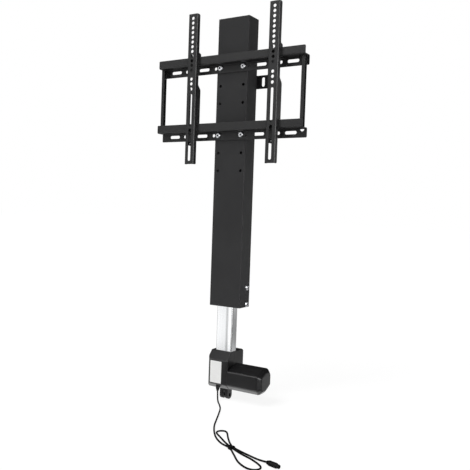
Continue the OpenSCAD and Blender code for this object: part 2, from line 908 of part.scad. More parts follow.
module motor_cover() {
    end_x = box_right + cover_len;
    color("dimgray") difference() {
        union() {
            along_x(box_right, end_x - cover_bevel_x) polygon(cover_outline);
            hull() {
                along_x(end_x - cover_bevel_x - over, end_x - cover_bevel_x) polygon(cover_outline);
                along_x(end_x - over, end_x) polygon(inset(cover_outline, cover_bevel));
            }
        }
        along_x(box_right - over, end_x - cover_bevel_x - box_wall)
            polygon(inset(cover_outline, box_wall));
    }
}

module motor() {
    color("gray") translate([0, worm_y, drive_z]) difference() {
        union() {
            rod_x(box_right, box_right + motor_len, motor_d);
            rod_x(box_right - motor_boss_len, box_right, motor_boss_d);
            rod_x(box_right + motor_len, box_right + motor_len + motor_boss_len, motor_boss_d);
        }
        rod_x(
            box_right - motor_boss_len - over, box_right + motor_shaft_bite + fit,
            worm_shaft_d + 2 * shaft_fit
        );
    }
}

// Drive

module spindle_bearings() {
    bore = spindle_d + 2 * shaft_fit;
    color("silver") translate([0, tube_y, 0]) {
        translate([0, 0, tube_foot_z - shelf_h]) difference() {
            cylinder(d = bearing_d, h = bearing_h);
            translate([0, 0, -over]) cylinder(d = bore, h = bearing_h + 2 * over);
        }
        translate([0, 0, box_floor_z + box_wall + foot_stem_h]) difference() {
            cylinder(d = low_bearing_d, h = low_bearing_h);
            translate([0, 0, -over]) cylinder(d = bore, h = low_bearing_h + 2 * over);
        }
    }
}

module spindle() {
    low = box_floor_z + box_wall + foot_stem_h + fit;
    color("silver") translate([0, tube_y, low]) cylinder(d = spindle_d, h = spindle_top_z - low);
}

module spindle_end_bush() {
    color("ivory") translate([0, tube_y, spindle_top_z - end_bush_h]) difference() {
        cylinder(d = push_tube_d - 2 * push_tube_wall - 2 * slide_gap, h = end_bush_h);
        translate([0, 0, -over]) cylinder(d = spindle_d + 2 * shaft_fit, h = end_bush_h + 2 * over);
    }
}

function wheel_outline() =
    let (pitch = 360 / wheel_teeth, root_r = wheel_d / 2 - wheel_tooth_h)
    [for (i = [0 : wheel_teeth - 1])
        for (p = [
            [-tooth_root_share, root_r], [-tooth_tip_share, wheel_d / 2],
            [tooth_tip_share, wheel_d / 2], [tooth_root_share, root_r]
        ])
            let (a = (i + p[0]) * pitch)
            [p[1] * cos(a), p[1] * sin(a)]];

module worm_wheel() {
    color("ivory") translate([0, tube_y, drive_z - wheel_h / 2]) difference() {
        linear_extrude(wheel_h) polygon(wheel_outline());
        translate([0, 0, -over]) cylinder(d = spindle_d + 2 * shaft_fit, h = wheel_h + 2 * over);
    }
}

module worm_shaft() {
    color("silver") translate([0, worm_y, drive_z]) {
        rod_x(-worm_len / 2, worm_len / 2, worm_d);
        rod_x(box_wall - box_left + fit, box_right + motor_shaft_bite, worm_shaft_d);
    }
}

// Foot: two rounded ears with a pin hole across them

module foot_clevis() {
    pin_z = foot_low_z + foot_d / 2;
    gap = foot_w - 2 * foot_ear_w;
    color("black") difference() {
        union() {
            translate([0, foot_y, 0]) {
                translate([-foot_w / 2, -foot_d / 2, pin_z])
                    cube([foot_w, foot_d, box_floor_z - pin_z]);
                translate([0, 0, pin_z]) rod_x(-foot_w / 2, foot_w / 2, foot_d);
                translate([0, 0, box_floor_z]) cylinder(d = foot_stem_d, h = foot_stem_h - fit);
            }
        }
        translate([-gap / 2, foot_y - foot_d, foot_low_z - over])
            cube([gap, 2 * foot_d, foot_h - foot_web + over]);
        translate([0, foot_y, pin_z]) rod_x(-foot_w, foot_w, foot_pin_d);
    }
}

// Wall bracket: a flat plate with two upright slots on a channel

module wall_plate() {
    color("black") difference() {
        along_y(-wall_plate_t, 0) round_rect(wall_plate_w, wall_plate_h, plate_corner_r);
        for (side = [-1, 1]) along_y(-wall_plate_t - over, over)
            translate([side * ear_slot_x, 0]) rotate(90) slot_shape(ear_slot_len, ear_slot_w);
    }
}

module wall_standoff() {
    depth = -wall_plate_t - rib_rear_y;
    color("black") difference() {
        translate([-standoff_w / 2, rib_rear_y, -wall_plate_h / 2])
            cube([standoff_w, depth, wall_plate_h]);
        translate([standoff_t - standoff_w / 2, rib_rear_y + standoff_t, -wall_plate_h / 2 - over])
            cube([standoff_w - 2 * standoff_t, depth, wall_plate_h + 2 * over]);
        for (side = [-1, 1]) translate([0, 0, side * bracket_screw_rise])
            rod_y(rib_rear_y - over, rib_rear_y + standoff_t + over, bracket_screw_d + 2 * fit);
    }
}

module wall_bracket_screws() {
    web = rib_rear_y + standoff_t;
    color("silver") for (side = [-1, 1]) translate([0, 0, side * bracket_screw_rise]) {
        rod_y(rib_rear_y - bracket_screw_bite + fit, web, bracket_screw_d);
        rod_y(web, web + bracket_head_h, bracket_head_d);
    }
}

// Cord, its gland, tie and plug

module cord_gland() {
    color("black") translate([gland_x, gland_y, foot_low_z]) {
        translate([0, 0, gland_neck]) cylinder(d = gland_d, h = gland_top - gland_neck);
        translate([0, 0, gland_tip])
            cylinder(d1 = gland_tip_d, d2 = gland_d, h = gland_neck - gland_tip);
    }
}

// A smooth curve through the route's points
function route_point(i) = cord_route[min(max(i, 0), len(cord_route) - 1)];
function smooth(i, t) =
    let (a = route_point(i - 1), b = route_point(i), c = route_point(i + 1), d = route_point(i + 2))
    ((2 * b) + (c - a) * t + (2 * a - 5 * b + 4 * c - d) * t * t
        + (3 * b - a - 3 * c + d) * t * t * t) / 2;
function cord_line(steps) = concat(
    [for (i = [0 : len(cord_route) - 2], s = [0 : steps - 1]) smooth(i, s / steps)],
    [route_point(len(cord_route) - 1)]
);
function cord_ways(line) =
    [for (i = [0 : len(line) - 1]) unit(line[min(i + 1, len(line) - 1)] - line[max(i - 1, 0)])];
// Carries the first side direction along the line without twisting it
function cord_sides_out(ways) =
    [for (i = 0, side = [1, 0, 0]; i < len(ways);
        i = i + 1, side = i < len(ways) ? unit(side - ways[i] * (side * ways[i])) : side) side];

module power_cord() {
    line = cord_line(cord_steps);
    free_ways = cord_ways(line);
    ways = [for (i = [0 : len(line) - 1])
        i == 0 ? [0, 0, -1] : i == len(line) - 1 ? [cos(plug_turn), sin(plug_turn), 0] : free_ways[i]];
    outs = cord_sides_out(ways);
    rings = [for (i = [0 : len(line) - 1], k = [0 : cord_sides - 1])
        let (a = 360 * k / cord_sides, other = cross(ways[i], outs[i]))
        line[i] + (outs[i] * cos(a) + other * sin(a)) * cord_d / 2];
    n = cord_sides;
    last = (len(line) - 1) * n;
    sides = [for (i = [0 : len(line) - 2], k = [0 : n - 1])
        let (a = i * n + k, b = i * n + (k + 1) % n)
        each [[a, a + n, b], [b, a + n, b + n]]];
    ends = [for (k = [1 : n - 2]) each [[0, k, k + 1], [last, last + k + 1, last + k]]];
    color("black") translate([0, 0, foot_low_z]) polyhedron(rings, concat(sides, ends));
}

// Least gap between stretches of the cord that aren't neighbours
probe = cord_line(cord_probe_steps);
cord_gap = min([for (i = [0 : len(probe) - 1])
    for (j = [i + cord_probe_skip : 1 : len(probe) - 1]) norm(probe[i] - probe[j])]) - cord_d;
echo(cord_gap = cord_gap);
echo(cord_length = [for (i = 0, s = 0; i < len(probe);
    i = i + 1, s = i < len(probe) ? s + norm(probe[i] - probe[i - 1]) : s) s][len(probe) - 1]);

module cord_tie() {
    band_w = 2 * strand_step + cord_d + 2 * tie_gap;
    band_h = cord_d + 2 * tie_gap;
    color("black") translate([tie_centre.x, tie_centre.y, foot_low_z + tie_height]) rotate(tie_turn)
        along_x(-tie_len / 2, tie_len / 2) difference() {
            slot_shape(band_w + 2 * tie_t, band_h + 2 * tie_t);
            slot_shape(band_w, band_h);
        }
}

module cord_plug() {
    color("black") translate([plug_start.x, plug_start.y, foot_low_z + plug_height])
        rotate([0, 90, plug_turn]) {
            cylinder(d1 = plug_neck_d, d2 = plug_grip_d, h = plug_neck_len);
            translate([0, 0, plug_neck_len]) cylinder(d = plug_grip_d, h = plug_grip_len);
            translate([0, 0, plug_neck_len + plug_grip_len])
                cylinder(d = plug_barrel_d, h = plug_barrel_len);
        }
}

guide_tube();
tube_top_guide();
gearbox_front_shell();
gearbox_rear_shell();
gearbox_screws();
rating_label();
motor_cover();
motor();
spindle_bearings();
foot_clevis();
wall_plate();
wall_standoff();
wall_bracket_screws();
cord_gland();
power_cord();
cord_tie();
cord_plug();
column_shell();
column_top_cap();
head_plate();
head_bolt();
push_tube();
push_tube_plug();
drive_nut();
left_guide_block();
right_guide_block();
guide_block_bolts();
upper_rail();
lower_rail();
left_strut();
right_strut();
rail_bolts();
rail_nuts();
spindle();
spindle_end_bush();
worm_wheel();
worm_shaft();
left_arm();
left_lock_tab();
left_lock_screw();
right_arm();
right_lock_tab();
right_lock_screw();
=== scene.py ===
import json
import math

import bmesh
import bpy
from bpy.props import FloatProperty, FloatVectorProperty, IntProperty, PointerProperty
from bpy.types import Operator, Panel, PropertyGroup
from mathutils import Matrix, Vector


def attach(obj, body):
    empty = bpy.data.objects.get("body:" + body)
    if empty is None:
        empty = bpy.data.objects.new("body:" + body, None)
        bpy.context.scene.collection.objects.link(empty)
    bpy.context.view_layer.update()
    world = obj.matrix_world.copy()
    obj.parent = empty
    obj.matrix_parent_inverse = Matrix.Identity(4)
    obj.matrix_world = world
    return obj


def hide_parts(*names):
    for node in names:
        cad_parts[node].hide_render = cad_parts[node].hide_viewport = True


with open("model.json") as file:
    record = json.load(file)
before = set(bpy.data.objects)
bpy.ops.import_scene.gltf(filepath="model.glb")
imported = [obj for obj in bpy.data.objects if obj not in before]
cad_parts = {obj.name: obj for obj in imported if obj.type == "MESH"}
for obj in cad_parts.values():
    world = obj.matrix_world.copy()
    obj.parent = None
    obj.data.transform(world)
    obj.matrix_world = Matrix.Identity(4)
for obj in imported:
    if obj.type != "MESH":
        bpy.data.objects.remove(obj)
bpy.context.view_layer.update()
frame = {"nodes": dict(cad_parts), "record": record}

bl_info = {
    "name": "Screen lift column",
    "version": (1, 0, 0),
    "blender": (4, 5, 0),
    "location": "View3D > Sidebar > Screen lift",
    "description": "Dresses the packed frame of a motorised screen lift column",
    "category": "Object",
}

MM = 0.001
CORNER_STEPS = 6
HOLE_STEPS = 24
BEND_STEPS = 6
TURN_STEPS = 48
THREAD_STEPS = 24

# Column, in millimetres
COLUMN_HALF = 51
COLUMN_FRONT = -73
COLUMN_REAR = -20
COLUMN_WALL = 2
COLUMN_TOP = 172
COLUMN_FOOT = -645
COLUMN_SLOT_HALF = 22
COLUMN_BEND = 1.6
CAP_BOX = (-48.9, 48.9, -70.9, -22.1)
CAP_SHEET = 3
COLUMN_HOLE = 8.4
COLUMN_HOLE_HEIGHTS = (32, -18, -68, -158, -208, -258)
BOLT_HALF_SPAN = 38
SIDE_BOLT_Y = -36.5
SIDE_BOLT_HEIGHTS = (-636, -589)
SIDE_BOLT_HOLE = 6.2

# Rails and struts
RAIL_HALF = 240
RAIL_SHEET = 2.5
RAIL_CORNER = 3
RAIL_PLATE_H = 23.3
RAIL_H = 46.5
RAIL_REACH = 28
RAIL_LOWS = {"upper_rail": 18, "lower_rail": -172}
RAIL_BOLT_H = 14
RAIL_SLOTS = (193, 94)
RAIL_SLOT_LEN = 35
RAIL_SLOT_W = 9
RAIL_HOLES = (156, 54)
RAIL_HOLE = 9
RAIL_NOTCH_X = 226.5
RAIL_NOTCH_R = 6
STRUT_PLACE = (231.3, -87, -146.2)
STRUT_LEN = 187.5
STRUT_OUTLINE = (
    (5, -4.5, 0.3), (-3.5, -4.5, 0.6), (-3.5, 4.5, 0.6), (5, 4.5, 0.3), (5, 6, 0.3),
    (-5, 6, 1.6), (-5, -6, 1.6), (5, -6, 0.3),
)

# Arms
ARM_XS = {"left_arm": -111, "right_arm": 153}
ARM_W = 31
ARM_SHEET = 2
ARM_TOP = 184.5
ARM_LEN = 426
ARM_FRONT = -115
ARM_SIDE = 13.7
ARM_HOLE = 9
ARM_HOLE_DROPS = [12.5 + 40 / 3 * i for i in range(12)] + [184.2, 184.2 + 40 / 3, 212.5]
ARM_SLOTS = ((231, 312.5), (329, 412.5))
HOOK_PLAY = 0.3
HOOK_DROP = 8
LOCK_PLACE = (11.5, 60.5)
LOCK_ANGLE = -45
LOCK_SHEET = 2
LOCK_TAB = (-13.5, 13.5, -7, 7)
LOCK_BORE = 5.2
LOCK_THREAD = (2.5, 0.8, 18)

# Gearbox, motor cover and foot
BOX_LEFT = -38.5
BOX_RIGHT = 29
BOX_FRONT = -93
BOX_REAR = -5.5
BOX_FLOOR = -878
BOX_LEFT_BEVEL = 8
BOX_RIGHT_BEVEL = 3
BOX_PARTING = -56
PARTING_HALF_GAP = 0.15
PARTING_ROUND = 0.4
BOX_OUTLINE = (
    (-93, -864.5), (-79.5, -878), (-17.5, -878), (-5.5, -866),
    (-5.5, -777), (-10.5, -772), (-72, -772), (-93, -796),
)
COVER_END = 135.5
COVER_BEVEL = 10
COVER_OUTLINE = (
    (-91, -864.5), (-77.5, -878), (-52.5, -878), (-20.5, -860),
    (-20.5, -825), (-30.5, -810), (-59, -810), (-91, -824.5),
)
BOX_SCREWS = [(x, z) for x in (-31, 21) for z in (-866, -801.5)]
LABEL_BOX = (-27.5, 10, -861.5, -799)
LABEL_FILM = 0.4
FOOT_LOW = -914
FOOT_Y = -49
FOOT_HALF = 12
FOOT_EAR = 9.5
FOOT_EAR_XS = (-13.5, 4)
FOOT_WEB = 10
FOOT_WEB_X = -5

# Guide tube, with a flute down its front and a rib down its back
TUBE_HALF = 27
TUBE_FRONT = -70
TUBE_REAR = -42
TUBE_CORNER = 5
TUBE_BORE = (-24.8, 24.8, -67.8, -44.2)
TUBE_FOOT = -792
TUBE_LEN = 932
RIB_HALF = 10
RIB_REAR = -34
FLUTE_X = 14
FLUTE_HALF = 10
FLUTE_DEPTH = 0.6
FLUTE_STEPS = 8

# Wall bracket
WALL_PLATE_HALF = (85, 19)
WALL_SHEET = 3
WALL_SLOTS = [(x, 0, 10, 17, True) for x in (-61.5, 61.5)]
STANDOFF_HALF = 12.5
STANDOFF_FRONT = -32.5
STANDOFF_BEND = 2.6
BRACKET_SCREW_Y = -31
BRACKET_SCREW_HEIGHTS = (-10, 10)

# Nuts: width over flats, bore and height
NUT = (13, 8.1, 6.5)

# Bolts and screws about Z: radius and height pairs, from the tip to the rim of the drive
RAIL_BOLT = (
    (0, -12.5), (3.3, -12.5), (4, -11.8), (4, 0), (7.2, 0), (7.5, 0.3), (7.5, 2.9),
    (7.2, 3.7), (6.5, 4.3), (5.8, 4.5), (3.4, 4.5),
)
SIDE_BOLT = (
    (0, -12), (2.5, -12), (3, -11.5), (3, 0), (8.2, 0), (8.5, 0.3), (8.5, 0.9),
    (8.2, 1.9), (7.5, 2.9), (6.5, 3.8), (5.4, 4.5), (4.4, 4.9), (3.4, 5),
)
HOUSING_SCREW = (
    (0, -4), (1.9, -4), (1.9, -3), (3.8, -3), (4, -2.8), (4, -1.2), (3.6, -0.4),
    (3.0, -0.05), (2.8, 0),
)
BRACKET_SCREW = (
    (0, -8.7), (2.6, -8.7), (3, -8.3), (3, 0), (4.8, 0), (5, 0.2), (5, 3), (4.6, 3.7),
    (3.9, 4), (2.9, 4),
)
LOCK_BOLT = ((0, -2), (4.2, -2), (4.5, -2.3), (4.5, -7.4), (4.0, -8), (2.4, -8))

# Cord route: X, Y and the height above the foot's lowest face
CORD_ROUTE = (
    (-4.5, -86, 28), (-3.5, -87, 19), (1, -93, 9.5), (11, -105, 3.2), (28, -124, 2.3),
    (48, -151, 2.3), (69, -190, 2.3), (90, -232, 2.3), (111, -273, 2.3), (136, -311, 2.3),
    (163, -343, 2.3), (193, -367, 2.7), (226, -383, 3.8), (252, -407, 2.8), (281, -436, 2.3),
    (308, -453, 2.3), (327, -456, 2.3), (338, -448, 2.3), (338, -436, 2.3), (327, -424, 2.3),
    (299, -408, 2.3), (264, -395, 2.7), (229, -379, 3.8), (197, -356.5, 2.7), (169, -334, 2.3),
    (151, -320, 2.3), (144, -312.5, 2.3), (142, -303.5, 2.3), (146.5, -295.5, 2.3),
    (155, -292.5, 2.3), (163.5, -297, 2.3), (171, -306, 2.3), (188, -329, 2.3),
    (210.5, -356, 2.8), (232, -375, 3.8), (260, -385, 2.8), (288, -393.5, 2.4),
    (314, -402.5, 3.4), (338, -409.5, 6.2),
)
CORD_D = 4.4
CORD_STEPS = 8
TIE_POINT = 22
TIE_ANGLE = -31
PLUG_ANGLE = -12

# Camera, lamps and panels, in metres, degrees and watts
CAMERA_PLACE = (0.9852, -1.6078, -0.3735)
CAMERA_ANGLES = (31.953, -2.075, 1.97)
SUNS = (("key_sun", (-0.12, -0.6, 0.79), 1.4, 30), ("fill_sun", (-0.42, -0.68, 0.6), 0.5, 24))
PANELS = (
    ("front_panel", (1.5, -2.5, 0.3), (0.5, 1.8), 5.6),
    ("right_panel", (2.7, -1.3, 0.2), (1.0, 2.0), 16),
)
PANEL_AIM = (0, -0.06, -0.2)
FLOOR_MIDDLE = (0.03, -0.06, 0)

# How a plate that is made flat is stood up
FACING_RIGHT = Matrix(((0, 0, 1), (1, 0, 0), (0, 1, 0))).to_4x4()
FACING_FRONT = Matrix(((1, 0, 0), (0, 0, -1), (0, 1, 0))).to_4x4()
BMVert, BMEdge, BMFace = bmesh.types.BMVert, bmesh.types.BMEdge, bmesh.types.BMFace


def record_colour(slot):
    """The colour that the record gives a material slot."""
    for material in frame["record"]["materials"]:
        if material["slot"] == slot:
            return tuple(material["base_color"])
    raise KeyError(slot)


# Shader sums and nodes

class Value:
    """A socket of a shader node that takes part in sums."""

    def __init__(self, finish, socket):
        self.finish = finish
        self.socket = socket

    def sum(self, operation, first, second):
        return self.finish.node("ShaderNodeMath", {"operation": operation}, {0: first, 1: second})

    def __add__(self, other):
        return self.sum("ADD", self, other)

    def __radd__(self, other):
        return self.sum("ADD", other, self)

    def __sub__(self, other):
        return self.sum("SUBTRACT", self, other)

    def __rsub__(self, other):
        return self.sum("SUBTRACT", other, self)

    def __mul__(self, other):
        return self.sum("MULTIPLY", self, other)

    def __rmul__(self, other):
        return self.sum("MULTIPLY", other, self)


class Finish:
    """A node tree of a material or of the world, with one way to add a node."""

    def __init__(self, owner):
        owner.use_nodes = True
        self.owner = owner
        self.tree = owner.node_tree
        self.tree.nodes.clear()

    def node(self, kind, settings=None, values=None, output=0):
        """Adds a node: its settings first, then the values and links of its sockets."""
        made = self.tree.nodes.new(kind)
        for name, setting in (settings or {}).items():
            setattr(made, name, setting)
        for key, value in (values or {}).items():
            if isinstance(value, Value):
                self.tree.links.new(value.socket, made.inputs[key])
            else:
                made.inputs[key].default_value = value
        return Value(self, made.outputs[output] if made.outputs else None)

    def place(self, stretch=(1, 1, 1)):
        spot = self.node("ShaderNodeTexCoord", output="Object")
        if stretch == (1, 1, 1):
            return spot
        return self.node("ShaderNodeMapping", values={"Vector": spot, "Scale": stretch})

    def noise(self, place, scale, detail=2.0, roughness=0.5):
        return self.node("ShaderNodeTexNoise", values={
            "Vector": place, "Scale": scale, "Detail": detail, "Roughness": roughness,
        })

    def ramp(self, value, low, high, kind="LINEAR"):
        """Zero up to low, one from high, and straight between them."""
        return self.node(
            "ShaderNodeMapRange", {"clamp": True, "interpolation_type": kind},
            {"Value": value, "From Min": low, "From Max": high},
        )

    def smooth(self, value, low, high):
        """Zero up to low, one from high, and a soft rise between them."""
        return self.ramp(value, low, high, "SMOOTHSTEP")

    def vector(self, operation, *values, output=0):
        return self.node(
            "ShaderNodeVectorMath", {"operation": operation}, dict(enumerate(values)), output
        )

    def towards(self, way, aim, low, high):
        """One where a way runs along an aim, and zero where it is turned off it."""
        return self.smooth(self.vector("DOT_PRODUCT", way, aim, output="Value"), low, high)

    def mix(self, share, first, second):
        return self.node(
            "ShaderNodeMix", {"data_type": "RGBA"}, {0: share, 6: first, 7: second}, 2
        )

    def tint(self, value, colour, dark, pale, low=0.3, high=0.7):
        """The colour from darker to paler as the value rises from low to high."""
        return self.mix(self.ramp(value, low, high), shade(colour, dark), shade(colour, pale))

    def surface(self, colour, roughness, relief, depth, strength, more=()):
        """The material, closed with a surface of a colour, a roughness and a fine relief."""
        bump = self.node("ShaderNodeBump", values={
            "Height": relief, "Distance": depth, "Strength": strength,
        })
        self.close(self.node("ShaderNodeBsdfPrincipled", values={
            "Base Color": colour, "Roughness": roughness, "Normal": bump, **dict(more),
        }))
        return self.owner

    def rays(self):
        """One for rays from the camera, and one for rays that gloss throws back."""
        return [
            self.node("ShaderNodeLightPath", output=kind)
            for kind in ("Is Camera Ray", "Is Glossy Ray")
        ]

    def close(self, shader, kind="ShaderNodeOutputMaterial"):
        self.node(kind, values={"Surface": shader})


def shade(colour, factor):
    """A colour made darker or lighter, with full cover."""
    return tuple(min(1.0, part * factor) for part in colour[:3]) + (1.0,)


def new_finish(name):
    """The node tree of a new material."""
    return Finish(bpy.data.materials.new(name))


def coated_steel(name, colour, gloss, sheen=0.5):
    """Powder coat: an even tone with a fine peel and small changes of gloss."""
    finish = new_finish(name)
    place = finish.place()
    cloud = finish.noise(place, 9, 3)
    peel = finish.noise(place, 850, 2)
    grain = finish.noise(place, 3200, 1)
    return finish.surface(
        finish.tint(cloud * 0.7 + grain * 0.3, colour, 0.86, 1.16),
        gloss - 0.06 + cloud * 0.08 + grain * 0.05,
        peel * 0.7 + grain * 0.3, 0.00006, 0.55, {"Specular IOR Level": sheen},
    )


def moulded_plastic(name, colour, gloss, texture=1.0, sheen=0.5):
    """Moulded housing plastic with a fine eroded texture."""
    finish = new_finish(name)
    place = finish.place()
    cloud = finish.noise(place, 16, 3)
    pits = finish.noise(place, 2600, 2)
    flow = finish.noise(finish.place((30, 30, 90)), 1, 2)
    return finish.surface(
        finish.tint(cloud * 0.6 + pits * 0.4, colour, 0.85, 1.18, 0.32, 0.68),
        gloss - 0.05 + flow * 0.05 + pits * 0.06,
        pits, 0.00005 * texture, 0.6, {"Specular IOR Level": sheen},
    )


def drawn_aluminium(name, colour):
    """Bright extruded aluminium with fine lines along its length."""
    finish = new_finish(name)
    lines = finish.noise(finish.place((1400, 1400, 6)), 1, 3)
    wide = finish.noise(finish.place((160, 160, 2)), 1, 2)
    return finish.surface(
        finish.tint(lines * 0.5 + wide * 0.5, colour, 0.98, 1.08),
        0.17 + lines * 0.05 + wide * 0.03, lines, 0.00001, 0.12, {"Metallic": 1.0},
    )


def plated_steel(name, colour, gloss=0.26):
    """Plated or ground steel with small marks from handling, and painted shade in the marked
    drives: darker, duller and less metallic there.
    """
    finish = new_finish(name)
    place = finish.place()
    cloud = finish.noise(place, 420, 3)
    marks = finish.noise(finish.place((2600, 700, 2600)), 1, 2)
    # Painted shade: where a drive is marked, the colour turns nearly black and duller, standing in
    # for the shade inside the drive
    painted_shade = finish.node("ShaderNodeAttribute", {"attribute_name": "painted_shade"}, output="Fac")
    return finish.surface(
        finish.mix(painted_shade, finish.tint(cloud, colour, 0.88, 1.14), shade(colour, 0.07)),
        gloss - 0.05 + cloud * 0.08 + marks * 0.06 + painted_shade * 0.3,
        marks, 0.00003, 0.4, {"Metallic": 1.0 - painted_shade * 0.6},
    )


def film_label(name, colour):
    """White printed film with a faint weave of fibres."""
    finish = new_finish(name)
    place = finish.place()
    fibre = finish.noise(place, 1500, 4, 0.65)
    cloud = finish.noise(place, 60, 2)
    return finish.surface(
        finish.tint(fibre * 0.5 + cloud * 0.5, colour, 0.97, 1.02), 0.36 + cloud * 0.1,
        fibre, 0.00003, 0.35,
    )


# Mesh helpers: everything is built in millimetres and scaled at the end

def shift(bm, *way):
    """Moves the whole mesh by a way."""
    bmesh.ops.translate(bm, verts=bm.verts[:], vec=way)


def settle(bm, place):
    """Turns and moves the whole mesh to a place."""
    bmesh.ops.transform(bm, matrix=place, verts=bm.verts[:])


def face_out(bm):
    """Turns all faces outwards."""
    bmesh.ops.recalc_face_normals(bm, faces=bm.faces[:])


def only(kind, parts):
    """The parts of one kind."""
    return [part for part in parts if isinstance(part, kind)]


def at(x, y, z):
    return Matrix.Translation((x, y, z))


def rotated(degrees, axis):
    return Matrix.Rotation(math.radians(degrees), 4, axis)


def hole(bm, x, y, diameter, reach=0.0, upright=False):
    """A closed ring of edges: a circle, or a slot whose ends are reach apart."""
    spin = Matrix.Rotation(math.pi / HOLE_STEPS, 4, "Z")
    ring = bmesh.ops.create_circle(
        bm, cap_ends=False, segments=HOLE_STEPS, radius=diameter / 2, matrix=spin
    )["verts"]
    for vert in ring:
        vert.co.x += math.copysign(reach / 2, vert.co.x)
    if upright:
        bmesh.ops.rotate(bm, verts=ring, matrix=Matrix.Rotation(math.pi / 2, 3, "Z"))
    bmesh.ops.translate(bm, verts=ring, vec=(x, y, 0))
    return ring


def blank(corners, holes=(), steps=CORNER_STEPS):
    """A flat face in X and Y. Corners are x, y and radius, and holes are the arguments of hole."""
    bm = bmesh.new()
    ring_of(bm, corners, steps)
    for one in holes:
        if callable(one):
            one(bm)
        else:
            hole(bm, *one)
    bmesh.ops.triangle_fill(
        bm, use_beauty=True, use_dissolve=False, edges=bm.edges[:], normal=(0, 0, 1)
    )
    return bm


def round_rim(bm, faces, radius):
    """Rounds the border of faces that lie in one plane, in two steps."""
    normal = faces[0].normal.copy()
    for share, drop in ((0.293, 1.0), (0.707, 0.293)):
        made = bmesh.ops.inset_region(
            bm, faces=faces, thickness=share * radius, use_boundary=True, use_even_offset=True
        )
        inner = {vert for face in faces for vert in face.verts}
        outer = {vert for face in made["faces"] for vert in face.verts} - inner
        bmesh.ops.translate(bm, verts=list(outer), vec=normal * -drop * radius)


def raise_blank(bm, *way):
    """Gives flat faces their thickness."""
    made = bmesh.ops.extrude_face_region(bm, geom=bm.faces[:])
    bmesh.ops.translate(bm, verts=only(BMVert, made["geom"]), vec=way)
    face_out(bm)
    return bm


def ring_of(bm, corners, steps):
    """A closed ring of edges with rounded corners."""
    verts = [bm.verts.new((x, y, 0)) for x, y, _ in corners]
    bm.faces.new(verts)
    for vert, (_, _, radius) in zip(verts, corners):
        if radius:
            bmesh.ops.bevel(
                bm, geom=[vert], offset=radius, offset_type="OFFSET", segments=steps,
                profile=0.5, affect="VERTICES", clamp_overlap=False, material=-1,
            )
    bmesh.ops.delete(bm, geom=bm.faces[:], context="FACES_ONLY")


def plate(corners, holes, thickness, rim=0.35, steps=CORNER_STEPS):
    """A flat plate or a straight bar with rounded rims, upwards from Z zero."""
    bm = raise_blank(blank(corners, holes, steps), 0, 0, thickness)
    if rim:
        for side in (1, -1):
            flat = [face for face in bm.faces if face.normal.z * side > 0.9]
            round_rim(bm, flat, rim)
    return bm


def box_corners(x0, x1, y0, y1, radius=0.0):
    return [(x0, y0, radius), (x1, y0, radius), (x1, y1, radius), (x0, y1, radius)]


def cut(bm, point, normal, **more):
    """Divides all faces along a plane."""
    return bmesh.ops.bisect_plane(
        bm, geom=bm.verts[:] + bm.edges[:] + bm.faces[:], dist=1e-4, plane_co=point,
        plane_no=normal, **more,
    )


class FoldLine:
    """The middle line of a bent sheet, seen from its end."""

    def __init__(self, corners, radius):
        points = [Vector(corner) for corner in corners]
        ways = [(b - a).normalized() for a, b in zip(points, points[1:])]
        self.radius = radius
        self.legs = []
        self.bends = []
        run = 0.0
        here = points[0]
        for i, way in enumerate(ways):
            last = i == len(ways) - 1
            turn = 0.0 if last else self.angle(way, ways[i + 1])
            end = points[i + 1] - way * radius * math.tan(abs(turn) / 2)
            self.legs.append((run, here, way))
            run += (end - here).length
            if not last:
                side = Vector((-way.y, way.x)) * math.copysign(1, turn)
                self.bends.append((run, abs(turn) * radius, end + side * radius, -side, turn))
                run += abs(turn) * radius
                here = end + (way + ways[i + 1]) * radius * math.tan(abs(turn) / 2)
        self.length = run

    @staticmethod
    def angle(a, b):
        return math.atan2(a.x * b.y - a.y * b.x, a.dot(b))

    def along(self, leg, point):
        """The run along the sheet to a point beside one of its legs."""
        run, start, way = self.legs[leg]
        return run + (Vector(point) - start).dot(way)

    def cuts(self):
        return [
            run + length * step / BEND_STEPS
            for run, length, _, _, _ in self.bends for step in range(BEND_STEPS + 1)
        ]

    def place(self, run, rise):
        """The point at a run along the line, raised to the left of its way."""
        for start, length, centre, arm, turn in self.bends:
            if start < run < start + length:
                sign = math.copysign(1, turn)
                spin = Matrix.Rotation(sign * (run - start) / self.radius, 2)
                return centre + spin @ arm * (self.radius - sign * rise)
        start, point, way = [leg for leg in self.legs if leg[0] <= run + 1e-6 or not leg[0]][-1]
        return point + way * (run - start) + Vector((-way.y, way.x)) * rise


def standing(along, spot):
    """A fold line seen from above, with its sheet running up."""
    return (spot.x, spot.y, along)


def lying(along, spot):
    """A fold line seen from the side, with its sheet running to the right."""
    return (along, spot.x, spot.y)


def folded(corners, holes, line, thickness, to_space, rim=0.35):
    """A flat pattern, cut out, given its thickness and folded along a line."""
    bm = plate(corners, holes, thickness, rim)
    for run in line.cuts():
        cut(bm, (0, run, 0), (0, 1, 0))
    for vert in bm.verts:
        vert.co = to_space(vert.co.x, line.place(vert.co.y, vert.co.z - thickness / 2))
    # The corners have moved, and which side is outside is told from the faces as they lie now
    bm.normal_update()
    face_out(bm)
    return bm


def prism(outline, x0, x1):
    """An outline in Y and Z run along X, as whole faces."""
    bm = bmesh.new()
    bm.faces.new([bm.verts.new((x0, y, z)) for y, z in outline])
    return raise_blank(bm, x1 - x0, 0, 0)


def cut_away(bm, point, normal):
    """Cuts off what lies beyond a plane and closes the cut."""
    made = cut(bm, point, normal, clear_outer=True)
    bmesh.ops.holes_fill(bm, edges=only(BMEdge, made["geom_cut"]), sides=0)
    face_out(bm)


